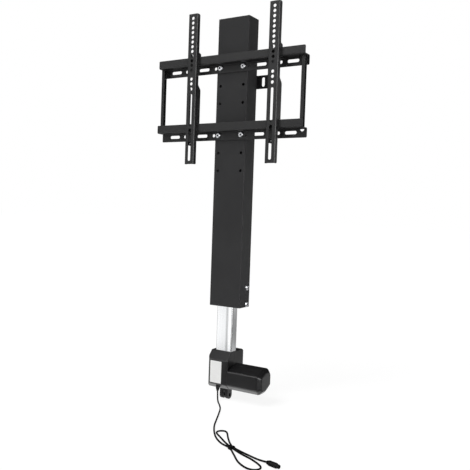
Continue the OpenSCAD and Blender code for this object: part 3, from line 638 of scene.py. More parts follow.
def round_edges(bm, radius, steps, pick, least=20):
    """Rounds the edges whose faces meet at more than some degrees."""
    edges = [
        edge for edge in bm.edges
        if len(edge.link_faces) == 2 and edge.calc_face_angle(0) > math.radians(least)
        and pick(edge)
    ]
    bmesh.ops.bevel(
        bm, geom=edges, offset=radius, offset_type="OFFSET", segments=steps, profile=0.5,
        affect="EDGES", clamp_overlap=True, material=-1,
    )


def profile_line(bm, profile):
    """The edges of radius and height pairs, with their ends."""
    verts = [bm.verts.new((radius, 0, height)) for radius, height in profile]
    return verts + [bm.edges.new(pair) for pair in zip(verts, verts[1:])]


def turned(profile, steps=TURN_STEPS):
    """A turned shape about Z from radius and height pairs."""
    bm = bmesh.new()
    bmesh.ops.spin(
        bm, geom=profile_line(bm, profile), cent=(0, 0, 0), axis=(0, 0, 1), angle=2 * math.pi,
        steps=steps, use_merge=True, use_duplicate=False,
    )
    bmesh.ops.remove_doubles(bm, verts=bm.verts[:], dist=1e-4)
    face_out(bm)
    return bm


def hexagon_radius(across):
    def radius(angle):
        return across / 2 / math.cos((angle + math.pi / 6) % (math.pi / 3) - math.pi / 6)
    return radius


def cross_radius(width, reach):
    def radius(angle):
        off = abs((angle + math.pi / 4) % (math.pi / 2) - math.pi / 4)
        return min(reach, width / 2 / max(math.sin(off), 1e-3))
    return radius


def sink_shape(bm, radius_at, depth):
    """Sinks a drive into the open ring on top of a turned head, and marks the drive where shade is
    painted.
    """
    # The drive's walls and floor are marked with one, which the plated finish reads as painted
    # shade
    painted_shade = bm.verts.layers.float.new("painted_shade")
    ring = [edge for edge in bm.edges if len(edge.link_faces) == 1]
    for level in (0, -0.15, -depth):
        made = bmesh.ops.extrude_edge_only(bm, edges=ring)["geom"]
        verts, ring = only(BMVert, made), only(BMEdge, made)
        top = verts[0].co.z if level == 0 else top
        grow = 1.06 if level == 0 else 1.0
        for vert in verts:
            angle = math.atan2(vert.co.y, vert.co.x)
            reach = radius_at(angle) * grow
            vert.co = (math.cos(angle) * reach, math.sin(angle) * reach, top + level)
            vert[painted_shade] = 1.0 if level else 0.0
    bmesh.ops.holes_fill(bm, edges=ring, sides=0)
    face_out(bm)
    return bm


def thread(radius, pitch, length):
    """A closed threaded rod about Z, from zero to its length."""
    bm = bmesh.new()
    core = radius - pitch * 0.55
    profile = [
        (reach, (share - 1) * pitch)
        for reach, share in ((core, 0), (radius, 0.42), (radius, 0.58), (core, 1))
    ]
    turns = math.ceil(length / pitch) + 2
    bmesh.ops.spin(
        bm, geom=profile_line(bm, profile), cent=(0, 0, 0), axis=(0, 0, 1),
        angle=2 * math.pi * turns, dvec=(0, 0, pitch / THREAD_STEPS), steps=THREAD_STEPS * turns,
        use_merge=False, use_duplicate=False,
    )
    bmesh.ops.remove_doubles(bm, verts=bm.verts[:], dist=1e-3)
    for height, way in ((0, -1), (length, 1)):
        cut_away(bm, (0, 0, height), (0, 0, way))
    for vert in bm.verts:
        spare = min(vert.co.z, length - vert.co.z)
        reach = math.hypot(vert.co.x, vert.co.y)
        limit = core + spare / pitch * (radius - core)
        if spare < pitch and reach > limit:
            vert.co.x *= limit / reach
            vert.co.y *= limit / reach
    face_out(bm)
    return bm


def mesh_of(name, bm):
    """The mesh of a bmesh, which is freed."""
    mesh = bpy.data.meshes.new(name)
    bm.to_mesh(mesh)
    bm.free()
    return mesh


def add_copies(bm, part, places):
    """Adds a made part to a bmesh at each of the places."""
    stock = mesh_of("stock", part)
    for place in places:
        first = len(bm.verts)
        bm.from_mesh(stock)
        bm.verts.ensure_lookup_table()
        bmesh.ops.transform(bm, matrix=place, verts=bm.verts[first:])
    bpy.data.meshes.remove(stock)
    return bm


def facing(point, way, spin=0.0):
    """The place that turns Z to a way and sets it at a point."""
    upright = Vector(way).to_track_quat("Z", "Y").to_matrix().to_4x4()
    return Matrix.Translation(point) @ upright @ Matrix.Rotation(spin, 4, "Z")


def add_object(name, data):
    made = bpy.data.objects.new(name, data)
    bpy.context.scene.collection.objects.link(made)
    return made


def add_piece(name, bm, body, slot, node, coat=None, sharp=38):
    """Makes the object of a finished piece, with its place in its mesh."""
    bmesh.ops.scale(bm, vec=(MM, MM, MM), verts=bm.verts[:])
    mesh = mesh_of(name, bm)
    mesh.polygons.foreach_set("use_smooth", [True] * len(mesh.polygons))
    mesh.set_sharp_from_angle(angle=math.radians(sharp))
    mesh.materials.append(finish_of(coat or slot))
    piece = add_object(name, mesh)
    even = piece.modifiers.new("Even shading", "WEIGHTED_NORMAL")
    even.keep_sharp = True
    even.weight = 100
    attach(piece, body)
    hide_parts(node)
    return piece


# Settings

class LiftSizes(PropertyGroup):
    """Sizes that the pieces share."""

    sheet_rim: FloatProperty(
        name="Sheet rim", description="Rounding of the cut edges of sheet metal",
        default=0.00035, unit="LENGTH",
    )
    bend: FloatProperty(
        name="Bend", description="Radius of the middle of a bent sheet",
        default=0.0024, unit="LENGTH",
    )
    housing_round: FloatProperty(
        name="Housing rounding", description="Rounding of the housings' moulded edges",
        default=0.0022, unit="LENGTH",
    )
    lens: FloatProperty(
        name="Lens", description="Focal length on a 36 mm sensor", default=49.17, unit="CAMERA",
    )
    cord_sides: IntProperty(
        name="Cord sides", description="Half of the sides that the cord adds to four", default=4,
    )


class LiftColours(PropertyGroup):
    """Colours of the finishes. The pale ones are those of the record's material slots."""

    column: FloatVectorProperty(
        name="Column", description="Matte powder coat of the column",
        subtype="COLOR", size=3, default=(0.03, 0.03, 0.031),
    )
    frame: FloatVectorProperty(
        name="Frame", description="Satin powder coat of rails, struts, arms and wall bracket",
        subtype="COLOR", size=3, default=(0.015, 0.015, 0.0155),
    )
    housing: FloatVectorProperty(
        name="Housing", description="Plastic of the gearbox and motor cover",
        subtype="COLOR", size=3, default=(0.009, 0.009, 0.0095),
    )
    tube: FloatVectorProperty(
        name="Tube", description="Aluminium of the guide tube",
        subtype="COLOR", size=3, default=record_colour("tube_aluminium"),
    )
    zinc: FloatVectorProperty(
        name="Zinc", description="Plating of bolts and screws",
        subtype="COLOR", size=3, default=record_colour("zinc_steel"),
    )
    label: FloatVectorProperty(
        name="Label", description="Film of the blank label",
        subtype="COLOR", size=3, default=record_colour("label"),
    )
    cord: FloatVectorProperty(
        name="Cord", description="Jacket of the cord",
        subtype="COLOR", size=3, default=(0.006, 0.006, 0.0063),
    )


def sizes():
    return bpy.context.scene.lift_sizes


FINISHES = {}


def finish_of(slot):
    """The material of a slot or a coat, made once. None stands for the record's colour."""
    if slot not in FINISHES:
        colours = bpy.context.scene.lift_colours
        maker, name, colour, *looks = {
            "black_steel": (coated_steel, "frame_coat", colours.frame, 0.42, 0.5),
            "strut_coat": (coated_steel, "strut_coat", shade(colours.frame, 0.5), 0.5, 0.5),
            "column_coat": (coated_steel, "column_coat", colours.column, 0.5, 0.2),
            "motor_steel": (coated_steel, "motor_paint", None, 0.36),
            "tube_aluminium": (drawn_aluminium, "drawn_aluminium", colours.tube),
            "bright_steel": (plated_steel, "ground_steel", None),
            "zinc_steel": (plated_steel, "zinc_plate", colours.zinc),
            "dark_screw": (plated_steel, "black_oxide", None, 0.38),
            "box_plastic": (moulded_plastic, "housing_plastic", colours.housing, 0.34),
            "guide_plastic": (moulded_plastic, "guide_plastic", None, 0.5),
            "pale_nylon": (moulded_plastic, "pale_nylon", None, 0.4),
            "foot_plastic": (
                moulded_plastic, "foot_plastic", shade(colours.housing, 0.7), 0.5, 1.0, 0.2
            ),
            "cord_jacket": (moulded_plastic, "cord_jacket", colours.cord, 0.46, 0.6, 0.15),
            "plug_plastic": (
                moulded_plastic, "plug_plastic", shade(colours.cord, 1.2), 0.5, 1.0, 0.2
            ),
            "label": (film_label, "label_film", colours.label),
        }[slot]
        colour = record_colour(slot) if colour is None else colour
        FINISHES[slot] = maker(name, colour, *looks)
    return FINISHES[slot]


# Operators

class LIFT_OT_camera(Operator):
    """Sets the camera where the photograph was taken from"""

    bl_idname = "lift.camera"
    bl_label = "Camera"

    def execute(self, context):
        data = bpy.data.cameras.new("camera")
        data.sensor_width = 36
        data.lens = sizes().lens
        data.clip_start, data.clip_end = 0.05, 60
        camera = add_object("camera", data)
        yaw, pitch, roll = CAMERA_ANGLES
        aim = rotated(yaw, "Z") @ rotated(90 + pitch, "X") @ rotated(roll, "Z")
        camera.matrix_world = at(*CAMERA_PLACE) @ aim
        context.scene.camera = camera
        return {"FINISHED"}


def add_lamp(data, place, way):
    """A lamp that lights from a place against a way and isn't seen itself."""
    lamp = add_object(data.name, data)
    lamp.matrix_world = facing(place, way)
    lamp.visible_camera = False


def add_floor():
    """The pale floor at the height of the foot's lowest face."""
    bm = bmesh.new()
    bmesh.ops.create_grid(bm, x_segments=1, y_segments=1, size=30)
    shift(bm, 0, 0, FOOT_LOW * MM)
    mesh = mesh_of("floor", bm)
    finish = new_finish("pale_floor")
    ray, gloss = finish.rays()
    speck = finish.noise(finish.place(), 40, 2)
    flat = finish.vector("MULTIPLY", finish.place(), (1, 1, 0))
    way = finish.vector("NORMALIZE", flat)
    reach = finish.vector("DISTANCE", flat, FLOOR_MIDDLE, output="Value")
    # Painted reflections: for glossy rays only, the floor glows at a level for each side, near the
    # foot or further out, so glossy faces mirror painted soft boxes and a bright painted pool of
    # light round the foot
    # Painted pool of light: the floor glows brightly right round the foot, seen only in
    # reflections
    near = 1 - finish.smooth(reach, 0.08, 0.18)
    middle = finish.smooth(reach, 0.35, 0.8) * (1 - finish.smooth(reach, 2.2, 4))
    front_left = finish.towards(way, (-0.6, -0.8, 0), 0.9, 0.998) * middle
    left = finish.towards(way, (-0.99, -0.1, 0), 0.5, 0.8)
    right = finish.towards(way, (0.85, -0.52, 0), 0.85, 0.97)
    right = right * finish.smooth(reach, 0.9, 1.5)
    beside = finish.towards(way, (0.87, 0.5, 0), 0.85, 0.95)
    beside = beside * (1 - finish.smooth(reach, 0.6, 0.9))
    behind = finish.towards(way, (0.53, 0.848, 0), 0.85, 0.97)
    behind = behind * (0.15 + finish.smooth(reach, 1.7, 2.4) * 0.6)
    mirrored = 0.12 + front_left * 1.02 + beside * 0.5
    mirrored = mirrored + near * 1.8 + right * 1.6 + left * 0.5 + behind
    plain = finish.node("ShaderNodeBsdfDiffuse", values={
        "Color": finish.mix(speck, (0.84, 0.84, 0.84, 1), (0.87, 0.87, 0.87, 1)),
    })
    glow = finish.node("ShaderNodeEmission", values={"Color": ray * 1.16 + gloss * mirrored})
    finish.close(finish.node(
        "ShaderNodeMixShader", values={0: ray * 0.75 + gloss, 1: plain, 2: glow}
    ))
    mesh.materials.append(finish.owner)
    add_object("floor", mesh)


def set_world():
    """The plain world round the floor."""
    world = bpy.data.worlds.new("studio")
    bpy.context.scene.world = world
    finish = Finish(world)
    ray, gloss = finish.rays()
    way = finish.node("ShaderNodeTexCoord", output="Generated")
    # White to the camera, an even level for light, and soft boxes where gloss mirrors it
    front = finish.towards(way, (-0.53, -0.848, 0), -0.6, 0.6)
    behind = finish.towards(way, (0.72, 0.69, 0), 0.9, 0.99)
    right = finish.towards(way, (0.85, -0.52, 0), 0.85, 0.97)
    right = right * finish.towards(way, (0, 0, 1), 0.02, 0.12)
    spot = finish.towards(way, (-0.513, -0.832, 0.17), 0.975, 0.99)
    mirrored = 0.03 + front * 0.05 + behind * 1.1 + right * 9 + spot * 2
    level = gloss * (mirrored - 0.21) + 0.21
    back = finish.node("ShaderNodeBackground", values={"Color": ray + (1 - ray) * level})
    finish.close(back, "ShaderNodeOutputWorld")


class LIFT_OT_stage(Operator):
    """Makes the pale floor, the soft lights and the plain world"""

    bl_idname = "lift.stage"
    bl_label = "Stage"

    def execute(self, context):
        add_floor()
        for name, way, strength, spread in SUNS:
            data = bpy.data.lights.new(name, "SUN")
            data.energy = strength
            data.angle = math.radians(spread)
            add_lamp(data, way, way)
        for name, place, size, power in PANELS:
            data = bpy.data.lights.new(name, "AREA")
            data.shape = "RECTANGLE"
            data.size, data.size_y = size
            data.energy = power
            add_lamp(data, place, Vector(place) - Vector(PANEL_AIM))
        set_world()
        context.scene.view_settings.view_transform = "Standard"
        return {"FINISHED"}


def cord_line():
    """The smooth curve through the cord's route, in metres."""
    route = [Vector((x, y, z + FOOT_LOW)) for x, y, z in CORD_ROUTE]
    line = []
    for i in range(len(route) - 1):
        a, b, c, d = (route[min(max(i + k, 0), len(route) - 1)] for k in (-1, 0, 1, 2))
        for step in range(CORD_STEPS):
            t = step / CORD_STEPS
            line.append((
                2 * b + (c - a) * t + (2 * a - 5 * b + 4 * c - d) * t * t
                + (3 * b - a - 3 * c + d) * t ** 3
            ) * (MM / 2))
    line.append(route[-1] * MM)
    return line


def gland_piece():
    """The strain relief, ribbed below the gearbox."""
    profile = [(0, 50), (5.2, 50), (5.5, 49.7), (5.5, 36.4), (5.2, 36)]
    for i in range(9):
        height = 35.2 - 0.8 * i
        reach = 3 + 2.5 * (height - 28) / 8
        profile.append((reach - (0.45 if i % 2 else 0), height))
    profile += [(2.9, 28.2), (2.7, 28), (0, 28)]
    bm = turned([(radius, height + FOOT_LOW) for radius, height in reversed(profile)], 36)
    shift(bm, *CORD_ROUTE[0][:2], 0)
    return add_piece("gland", bm, "root", "foot_plastic", "cord_gland")


def tie_piece():
    """The band round the cord's bundle, with its head on top."""
    width, height, wall, length = 15.4, 5.4, 1.0, 4.6
    outer = (height + 2 * wall) / 2
    corners = box_corners(-(width / 2 + wall), width / 2 + wall, -outer, outer, outer * 0.97)
    bm = plate(corners, [(0, 0, height, width - height)], length, 0.3, 10)
    shift(bm, 0, 0, -length / 2)
    head = plate(box_corners(-2.6, 2.6, -2.4, 2.4, 0.8), [(0, 0, 1.6, 1.2)], 3.2, 0.4)
    add_copies(bm, head, [at(-4.5, outer - 0.3, 0) @ rotated(-90, "X")])
    x, y, z = CORD_ROUTE[TIE_POINT]
    settle(bm, at(x, y, FOOT_LOW + z) @ rotated(TIE_ANGLE, "Z") @ FACING_RIGHT)
    return add_piece("cord_tie_band", bm, "root", "cord_jacket", "cord_tie")


def plug_piece():
    """The round connector with a ribbed grip and two flats."""
    profile = [(0, 0), (2.9, 0), (3.5, 0.5)]
    for i in range(6):
        reach, rise = 3.5 + 2.5 * (i + 1) / 7, 1.2 * i
        profile += [(reach, rise + 0.9), (reach - 0.5, rise + 1.1), (reach - 0.5, rise + 1.5)]
    profile += [(5.8, 8.2), (6, 9), (6, 26.8), (5.4, 28), (4.5, 28), (4.5, 34.4), (4.1, 35)]
    profile += [(2.6, 35), (2.4, 34.6), (2.4, 29), (0, 29)]
    bm = turned(profile, 40)
    for vert in bm.verts:
        if 9.5 < vert.co.z < 26.5:
            vert.co.y = max(-5.6, min(5.6, vert.co.y))
    x, y, z = CORD_ROUTE[-1]
    settle(bm, at(x, y, FOOT_LOW + z) @ rotated(PLUG_ANGLE, "Z") @ rotated(90, "Y"))
    return add_piece("plug_body", bm, "root", "plug_plastic", "cord_plug")


class LIFT_OT_cord(Operator):
    """Makes the cord with its gland, tie and plug"""

    bl_idname = "lift.cord"
    bl_label = "Cord"

    def execute(self, context):
        line = cord_line()
        curve = bpy.data.curves.new("cord", "CURVE")
        curve.dimensions = "3D"
        curve.bevel_depth = CORD_D / 2 * MM
        curve.bevel_resolution = sizes().cord_sides
        curve.use_fill_caps = True
        spline = curve.splines.new("POLY")
        spline.points.add(len(line) - 1)
        for point, place in zip(spline.points, line):
            point.co = (*place, 1)
        spline.use_smooth = True
        cord = add_object("cord", curve)
        curve.materials.append(finish_of("cord_jacket"))
        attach(cord, "root")
        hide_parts("power_cord")
        length = sum((b - a).length for a, b in zip(line, line[1:]))
        gland_piece()
        tie_piece()
        plug_piece()
        return {"FINISHED"}


class LIFT_OT_column(Operator):
    """Folds the column and closes its top"""

    bl_idname = "lift.column"
    bl_label = "Column"

    def execute(self, context):
        mid = COLUMN_WALL / 2
        side, front, rear = COLUMN_HALF - mid, COLUMN_FRONT + mid, COLUMN_REAR - mid
        line = FoldLine([
            (-COLUMN_SLOT_HALF, rear), (-side, rear), (-side, front), (side, front),
            (side, rear), (COLUMN_SLOT_HALF, rear),
        ], COLUMN_BEND)
        holes = [
            (z, line.along(2, (x, front)), COLUMN_HOLE)
            for z in COLUMN_HOLE_HEIGHTS for x in (-BOLT_HALF_SPAN, BOLT_HALF_SPAN)
        ]
        holes += [
            (z, line.along(leg, (x, SIDE_BOLT_Y)), SIDE_BOLT_HOLE)
            for z in SIDE_BOLT_HEIGHTS for leg, x in ((1, -side), (3, side))
        ]
        bm = folded(
            box_corners(COLUMN_FOOT, COLUMN_TOP, 0, line.length, 0.8), holes, line,
            COLUMN_WALL, standing,
        )
        add_piece("column", bm, "lift", "black_steel", "column_shell", "column_coat")
        cap = plate(box_corners(*CAP_BOX, 0.6), [], CAP_SHEET, 0.4)
        field = [face for face in cap.faces if face.normal.z > 0.9]
        for thickness, depth in ((5, 0), (0.8, -0.7)):
            bmesh.ops.inset_region(
                cap, faces=field, thickness=thickness, depth=depth, use_boundary=True,
                use_even_offset=True,
            )
        shift(cap, 0, 0, COLUMN_TOP - CAP_SHEET)
        add_piece("top_cap", cap, "lift", "guide_plastic", "column_top_cap")
        return {"FINISHED"}


def rail_sheet(low):
    """A rail with its step and its row of slots and holes."""
    mid = RAIL_SHEET / 2
    plate_y = COLUMN_FRONT - mid
    lip_y = COLUMN_FRONT - RAIL_REACH + mid
    step_z = low + RAIL_PLATE_H + mid
    line = FoldLine([
        (plate_y, low), (plate_y, step_z), (lip_y, step_z), (lip_y, low + RAIL_H)
    ], sizes().bend / MM)
    row = line.along(0, (plate_y, low + RAIL_BOLT_H))
    holes = []
    for side in (-1, 1):
        for x in RAIL_SLOTS:
            holes.append((side * x, row, RAIL_SLOT_W, RAIL_SLOT_LEN - RAIL_SLOT_W))
        for x in RAIL_HOLES:
            holes.append((side * x, row, RAIL_HOLE))
        holes.append((side * BOLT_HALF_SPAN, row, COLUMN_HOLE))

    def notch(bm):
        top = line.bends[0][0]
        for vert in hole(bm, RAIL_NOTCH_X, top, 2 * RAIL_NOTCH_R):
            vert.co.y = min(vert.co.y, top)
    if low == RAIL_LOWS["lower_rail"]:
        holes.append(notch)
    return folded(
        box_corners(-RAIL_HALF, RAIL_HALF, 0, line.length, RAIL_CORNER), holes, line,
        RAIL_SHEET, lying, sizes().sheet_rim / MM,
    )


class LIFT_OT_rails(Operator):
    """Folds the two rails and sets the struts between them"""

    bl_idname = "lift.rails"
    bl_label = "Rails"

    def execute(self, context):
        for name, low in RAIL_LOWS.items():
            add_piece(name + "_sheet", rail_sheet(low), "lift", "black_steel", name)
        for name, side in (("left_strut", -1), ("right_strut", 1)):
            bar = plate(STRUT_OUTLINE, [], STRUT_LEN, 0.2)
            x, y, z = STRUT_PLACE
            shift(bar, side * x, y, z)
            add_piece(name + "_bar", bar, "lift", "black_steel", name, "strut_coat")
        return {"FINISHED"}


def lock_bolt():
    """A head that hangs below its seat, turned over where its drive is sunk."""
    head = turned(LOCK_BOLT)
    over = Matrix.Scale(-1, 4, (0, 0, 1))
    settle(head, over)
    sink_shape(head, hexagon_radius(4), 2.2)
    settle(head, over)
    face_out(head)
    return head


def arm_sheet(centre):
    """An arm with its holes and slots, and the hooks behind its sides."""
    mid = ARM_SHEET / 2
    front = ARM_FRONT + mid
    side = ARM_W / 2 - mid
    back = ARM_FRONT + ARM_SIDE
    foot = ARM_TOP - ARM_LEN
    tongue_front = COLUMN_FRONT - RAIL_REACH + RAIL_SHEET + HOOK_PLAY
    tongue_back = tongue_front + 3
    deepest = {0: back + 12, 2: tongue_back}
    hook_low = RAIL_LOWS["upper_rail"] + RAIL_H + HOOK_PLAY
    deep_low = RAIL_LOWS["lower_rail"] + RAIL_H + HOOK_PLAY
    line = FoldLine([
        (centre + side, deepest[0]), (centre + side, front),
        (centre - side, front), (centre - side, deepest[2]),
    ], sizes().bend / MM)
    corners = []
    for leg, x in ((0, centre + side), (2, centre - side)):
        profile = [
            (back, foot, 4), (back, deep_low, 0), (tongue_front, deep_low, 0),
            (tongue_front, deep_low - HOOK_DROP, 1), (tongue_back, deep_low - HOOK_DROP, 1),
            (deepest[leg], deep_low, 0), (deepest[leg], deep_low + 98, 4),
            (back, deep_low + 110, 3), (back, hook_low, 0), (tongue_front, hook_low, 0),
            (tongue_front, hook_low - HOOK_DROP, 1), (tongue_back, hook_low - HOOK_DROP, 1),
            (back + 10, hook_low, 1.5), (back + 10, hook_low + 9, 2.5),
            (back, hook_low + 12, 2), (back, ARM_TOP, 4),
        ]
        flange = [(z, line.along(leg, (x, y)), radius) for y, z, radius in profile]
        corners += flange if leg == 0 else flange[::-1]
    middle = line.along(1, (centre, front))
    holes = [(ARM_TOP - drop, middle, ARM_HOLE) for drop in ARM_HOLE_DROPS]
    for first, last in ARM_SLOTS:
        holes.append((ARM_TOP - (first + last) / 2, middle, ARM_HOLE, last - first))
    return folded(corners, holes, line, ARM_SHEET, standing, sizes().sheet_rim / MM)


class LIFT_OT_arms(Operator):
    """Folds the two screen arms, with their lock tabs and screws"""

    bl_idname = "lift.arms"
    bl_label = "Arms"

    def execute(self, context):
        for name, x in ARM_XS.items():
            side = name.split("_")[0]
            add_piece(name + "_sheet", arm_sheet(x), name, "black_steel", name)
            behind, rise = LOCK_PLACE
            place = at(x, ARM_FRONT + behind, ARM_TOP - ARM_LEN + rise)
            place = place @ rotated(LOCK_ANGLE, "X")
            under = at(0, 0, -LOCK_SHEET)
            tab = plate(box_corners(*LOCK_TAB, 1.5), [(0, 0, LOCK_BORE)], LOCK_SHEET, 0.3)
            settle(tab, place @ under)
            add_piece(side + "_lock_sheet", tab, name, "black_steel", side + "_lock_tab")
            bolt = lock_bolt()
            add_copies(bolt, thread(*LOCK_THREAD), [under])
            settle(bolt, place)
            add_piece(side + "_lock_bolt", bolt, name, "zinc_steel", side + "_lock_screw")
        return {"FINISHED"}


def add_bolts(name, body, slot, node, profile, drive, places):
    """Turns one bolt, sinks its drive and sets a copy at each place."""
    bolt = sink_shape(turned(profile), *drive)
    add_piece(name, add_copies(bmesh.new(), bolt, places), body, slot, node)


def hexagon(across):
    """The corners of a nut, from its width over flats."""
    reach = across / 2 / math.cos(math.pi / 6)
    return [
        (reach * math.cos(k * math.pi / 3), reach * math.sin(k * math.pi / 3), 0.6)
        for k in range(6)
    ]


class LIFT_OT_fasteners(Operator):
    """Makes the bolts, nuts and screws"""

    bl_idname = "lift.fasteners"
    bl_label = "Fasteners"

    def execute(self, context):
        seats = [
            (side * BOLT_HALF_SPAN, low + RAIL_BOLT_H)
            for low in RAIL_LOWS.values() for side in (-1, 1)
        ]
        add_bolts(
            "rail_bolt_set", "lift", "zinc_steel", "rail_bolts", RAIL_BOLT,
            (hexagon_radius(5.2), 3),
            [facing((x, COLUMN_FRONT - RAIL_SHEET, z), (0, -1, 0), 0.3) for x, z in seats],
        )
        across, bore, height = NUT
        nut = plate(hexagon(across), [(0, 0, bore)], height, 0.4)
        nut_y = COLUMN_FRONT + COLUMN_WALL
        nuts = add_copies(
            bmesh.new(), nut, [facing((x, nut_y, z), (0, 1, 0)) for x, z in seats]
        )
        add_piece("rail_nut_set", nuts, "lift", "zinc_steel", "rail_nuts")
        add_bolts(
            "side_bolt_set", "lift", "zinc_steel", "guide_block_bolts", SIDE_BOLT,
            (hexagon_radius(5.2), 2.5),
            [facing((side * COLUMN_HALF, SIDE_BOLT_Y, z), (side, 0, 0), 0.2)
             for side in (-1, 1) for z in SIDE_BOLT_HEIGHTS],
        )
        add_bolts(
            "housing_screw_set", "root", "dark_screw", "gearbox_screws", HOUSING_SCREW,
            (cross_radius(1.1, 2.4), 1.8),
            [facing((x, BOX_REAR, z), (0, 1, 0), 0.5) for x, z in BOX_SCREWS],
        )
        add_bolts(
            "bracket_screw_set", "root", "zinc_steel", "wall_bracket_screws", BRACKET_SCREW,
            (hexagon_radius(4), 2.4),
            [facing((0, BRACKET_SCREW_Y, z), (0, 1, 0), 0.4) for z in BRACKET_SCREW_HEIGHTS],
        )
        return {"FINISHED"}


def on_plane(edge, y):
    return all(abs(vert.co.y - y) < 0.01 for vert in edge.verts)


def cover_body(rounding):
    """The motor cover with its bevelled end."""
    bm = prism(COVER_OUTLINE, BOX_RIGHT, COVER_END - COVER_BEVEL)
    end = [face for face in bm.faces if face.normal.x > 0.9]
    made = bmesh.ops.extrude_face_region(bm, geom=end)
    lifted, top = only(BMVert, made["geom"]), only(BMFace, made["geom"])
    bmesh.ops.delete(bm, geom=[face for face in end if face.is_valid], context="FACES")
    bmesh.ops.translate(bm, verts=lifted, vec=(COVER_BEVEL, 0, 0))
    bmesh.ops.inset_region(bm, faces=top, thickness=COVER_BEVEL, use_even_offset=True)
    inner = {vert for face in top for vert in face.verts}
    outer = [vert for vert in bm.verts if vert.co.x > COVER_END - 0.01 and vert not in inner]
    bmesh.ops.translate(bm, verts=outer, vec=(-COVER_BEVEL, 0, 0))
    bmesh.ops.remove_doubles(bm, verts=bm.verts[:], dist=1e-3)
    face_out(bm)
    round_edges(
        bm, rounding * 1.5, 4,
        lambda edge: not all(vert.co.x < BOX_RIGHT + 0.01 for vert in edge.verts),
    )
    return bm


def foot_body():
    """Two rounded ears and the web between them."""
    rear, front = FOOT_Y + FOOT_HALF, FOOT_Y - FOOT_HALF
    corners = [
        (front, FOOT_LOW, FOOT_HALF - 0.1), (rear, FOOT_LOW, FOOT_HALF - 0.1),
        (rear, BOX_FLOOR, 0), (front, BOX_FLOOR, 0),
    ]
    ear = plate(corners, [(FOOT_Y, FOOT_LOW + FOOT_HALF, 10)], FOOT_EAR, 0.9, 12)
    web = plate(box_corners(front, rear, BOX_FLOOR - FOOT_WEB, BOX_FLOOR), [], FOOT_WEB, 0)
    bm = bmesh.new()
    add_copies(bm, ear, [at(x, 0, 0) @ FACING_RIGHT for x in FOOT_EAR_XS])
    return add_copies(bm, web, [at(FOOT_WEB_X, 0, 0) @ FACING_RIGHT])


class LIFT_OT_gearbox(Operator):
    """Makes the gearbox shells, the motor cover, the label and the foot"""

    bl_idname = "lift.gearbox"
    bl_label = "Gearbox"

    def execute(self, context):
        rounding = sizes().housing_round / MM
        for name, way in (("gearbox_front_shell", -1), ("gearbox_rear_shell", 1)):
            bm = prism(BOX_OUTLINE, BOX_LEFT, BOX_RIGHT)
            if way < 0:
                cut_away(bm, (BOX_LEFT, BOX_FRONT + BOX_LEFT_BEVEL, 0), (-1, -1, 0))
                cut_away(bm, (BOX_RIGHT, BOX_FRONT + BOX_RIGHT_BEVEL, 0), (1, -1, 0))
            parting = BOX_PARTING + way * PARTING_HALF_GAP
            cut_away(bm, (0, parting, 0), (0, -way, 0))
            round_edges(bm, rounding, 4, lambda edge: not on_plane(edge, parting))
            round_edges(bm, PARTING_ROUND, 1, lambda edge: on_plane(edge, parting), 50)
            add_piece(name.replace("gearbox", "housing"), bm, "root", "box_plastic", name)
        add_piece("housing_motor", cover_body(rounding), "root", "box_plastic", "motor_cover")
        label = plate(box_corners(*LABEL_BOX, 1.8), [], LABEL_FILM, 0.12)
        settle(label, at(0, BOX_FRONT, 0) @ FACING_FRONT)
        add_piece("blank_label", label, "root", "label", "rating_label")
        add_piece("foot", foot_body(), "root", "foot_plastic", "foot_clevis")
        return {"FINISHED"}


class LIFT_OT_tube(Operator):
    """Draws the guide tube with its rear rib"""

    bl_idname = "lift.tube"
    bl_label = "Guide tube"

    def execute(self, context):
        flute = [
            (
                FLUTE_X + step * FLUTE_HALF / FLUTE_STEPS,
                TUBE_FRONT + FLUTE_DEPTH * (1 + math.cos(math.pi * step / FLUTE_STEPS)) / 2, 0,
            )
            for step in range(-FLUTE_STEPS, FLUTE_STEPS + 1)
        ]
        corners = [(-TUBE_HALF, TUBE_FRONT, TUBE_CORNER)] + flute + [
            (TUBE_HALF, TUBE_FRONT, TUBE_CORNER), (TUBE_HALF, TUBE_REAR, TUBE_CORNER),
            (RIB_HALF, TUBE_REAR, 0.8), (RIB_HALF, RIB_REAR, 1.2), (-RIB_HALF, RIB_REAR, 1.2),
            (-RIB_HALF, TUBE_REAR, 0.8), (-TUBE_HALF, TUBE_REAR, TUBE_CORNER),
        ]
        bore = box_corners(*TUBE_BORE, 2.8)
        tube = plate(corners, [lambda bm: ring_of(bm, bore, 4)], TUBE_LEN, 0.4, 8)
        shift(tube, 0, 0, TUBE_FOOT)
        add_piece("tube_profile", tube, "root", "tube_aluminium", "guide_tube", sharp=30)
        return {"FINISHED"}


class LIFT_OT_bracket(Operator):
    """Makes the wall plate and the channel that carries it"""

    bl_idname = "lift.bracket"
    bl_label = "Wall bracket"

    def execute(self, context):
        wide, high = WALL_PLATE_HALF
        bm = plate(box_corners(-wide, wide, -high, high, 3), WALL_SLOTS, WALL_SHEET, 0.4)
        settle(bm, FACING_FRONT)
        add_piece("wall_plate_sheet", bm, "root", "black_steel", "wall_plate")
        line = FoldLine([
            (-STANDOFF_HALF, -WALL_SHEET), (-STANDOFF_HALF, STANDOFF_FRONT),
            (STANDOFF_HALF, STANDOFF_FRONT), (STANDOFF_HALF, -WALL_SHEET),
        ], STANDOFF_BEND)
        middle = line.along(1, (0, STANDOFF_FRONT))
        bm = folded(
            box_corners(-high, high, 0, line.length, 1),
            [(z, middle, 6.4) for z in BRACKET_SCREW_HEIGHTS], line, WALL_SHEET, standing,
        )
        add_piece("standoff_sheet", bm, "root", "black_steel", "wall_standoff")
        return {"FINISHED"}


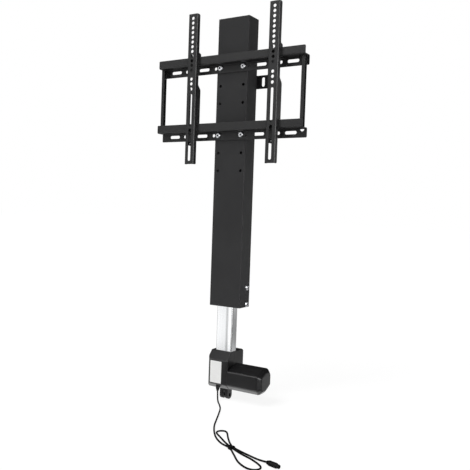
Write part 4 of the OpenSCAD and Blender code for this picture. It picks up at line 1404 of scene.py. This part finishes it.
class LIFT_OT_inner(Operator):
    """Gives the frame's own inner pieces their finishes"""

    bl_idname = "lift.inner"
    bl_label = "Inner pieces"

    slots = {
        "black_steel": ("head_plate",),
        "guide_plastic": ("tube_top_guide",),
        "bright_steel": (
            "spindle_bearings", "push_tube", "push_tube_plug", "spindle", "worm_shaft",
        ),
        "zinc_steel": ("head_bolt",),
        "pale_nylon": (
            "drive_nut", "spindle_end_bush", "worm_wheel", "left_guide_block", "right_guide_block",
        ),
        "motor_steel": ("motor",),
    }

    def execute(self, context):
        for slot, nodes in self.slots.items():
            for node in nodes:
                for place in frame["nodes"][node].material_slots:
                    place.material = finish_of(slot)
        return {"FINISHED"}


OPERATORS = (
    LIFT_OT_camera, LIFT_OT_cord, LIFT_OT_stage, LIFT_OT_column, LIFT_OT_rails, LIFT_OT_arms,
    LIFT_OT_fasteners, LIFT_OT_gearbox, LIFT_OT_tube, LIFT_OT_bracket, LIFT_OT_inner,
)


class LIFT_PT_pieces(Panel):
    """Lists the pieces and their settings"""

    bl_idname = "LIFT_PT_pieces"
    bl_label = "Screen lift"
    bl_space_type = "VIEW_3D"
    bl_region_type = "UI"
    bl_category = "Screen lift"

    def draw(self, context):
        for operator in OPERATORS:
            self.layout.operator(operator.bl_idname)
        for group in (context.scene.lift_sizes, context.scene.lift_colours):
            for name in group.bl_rna.properties.keys():
                if name not in ("rna_type", "name"):
                    self.layout.prop(group, name)


CLASSES = (LiftSizes, LiftColours) + OPERATORS + (LIFT_PT_pieces,)


def register():
    for cls in CLASSES:
        bpy.utils.register_class(cls)
    bpy.types.Scene.lift_sizes = PointerProperty(type=LiftSizes)
    bpy.types.Scene.lift_colours = PointerProperty(type=LiftColours)


def unregister():
    del bpy.types.Scene.lift_colours
    del bpy.types.Scene.lift_sizes
    for cls in reversed(CLASSES):
        bpy.utils.unregister_class(cls)


def main():
    register()
    for operator in OPERATORS:
        group, name = operator.bl_idname.split(".")
        getattr(getattr(bpy.ops, group), name)()


if __name__ == "__main__":
    main()
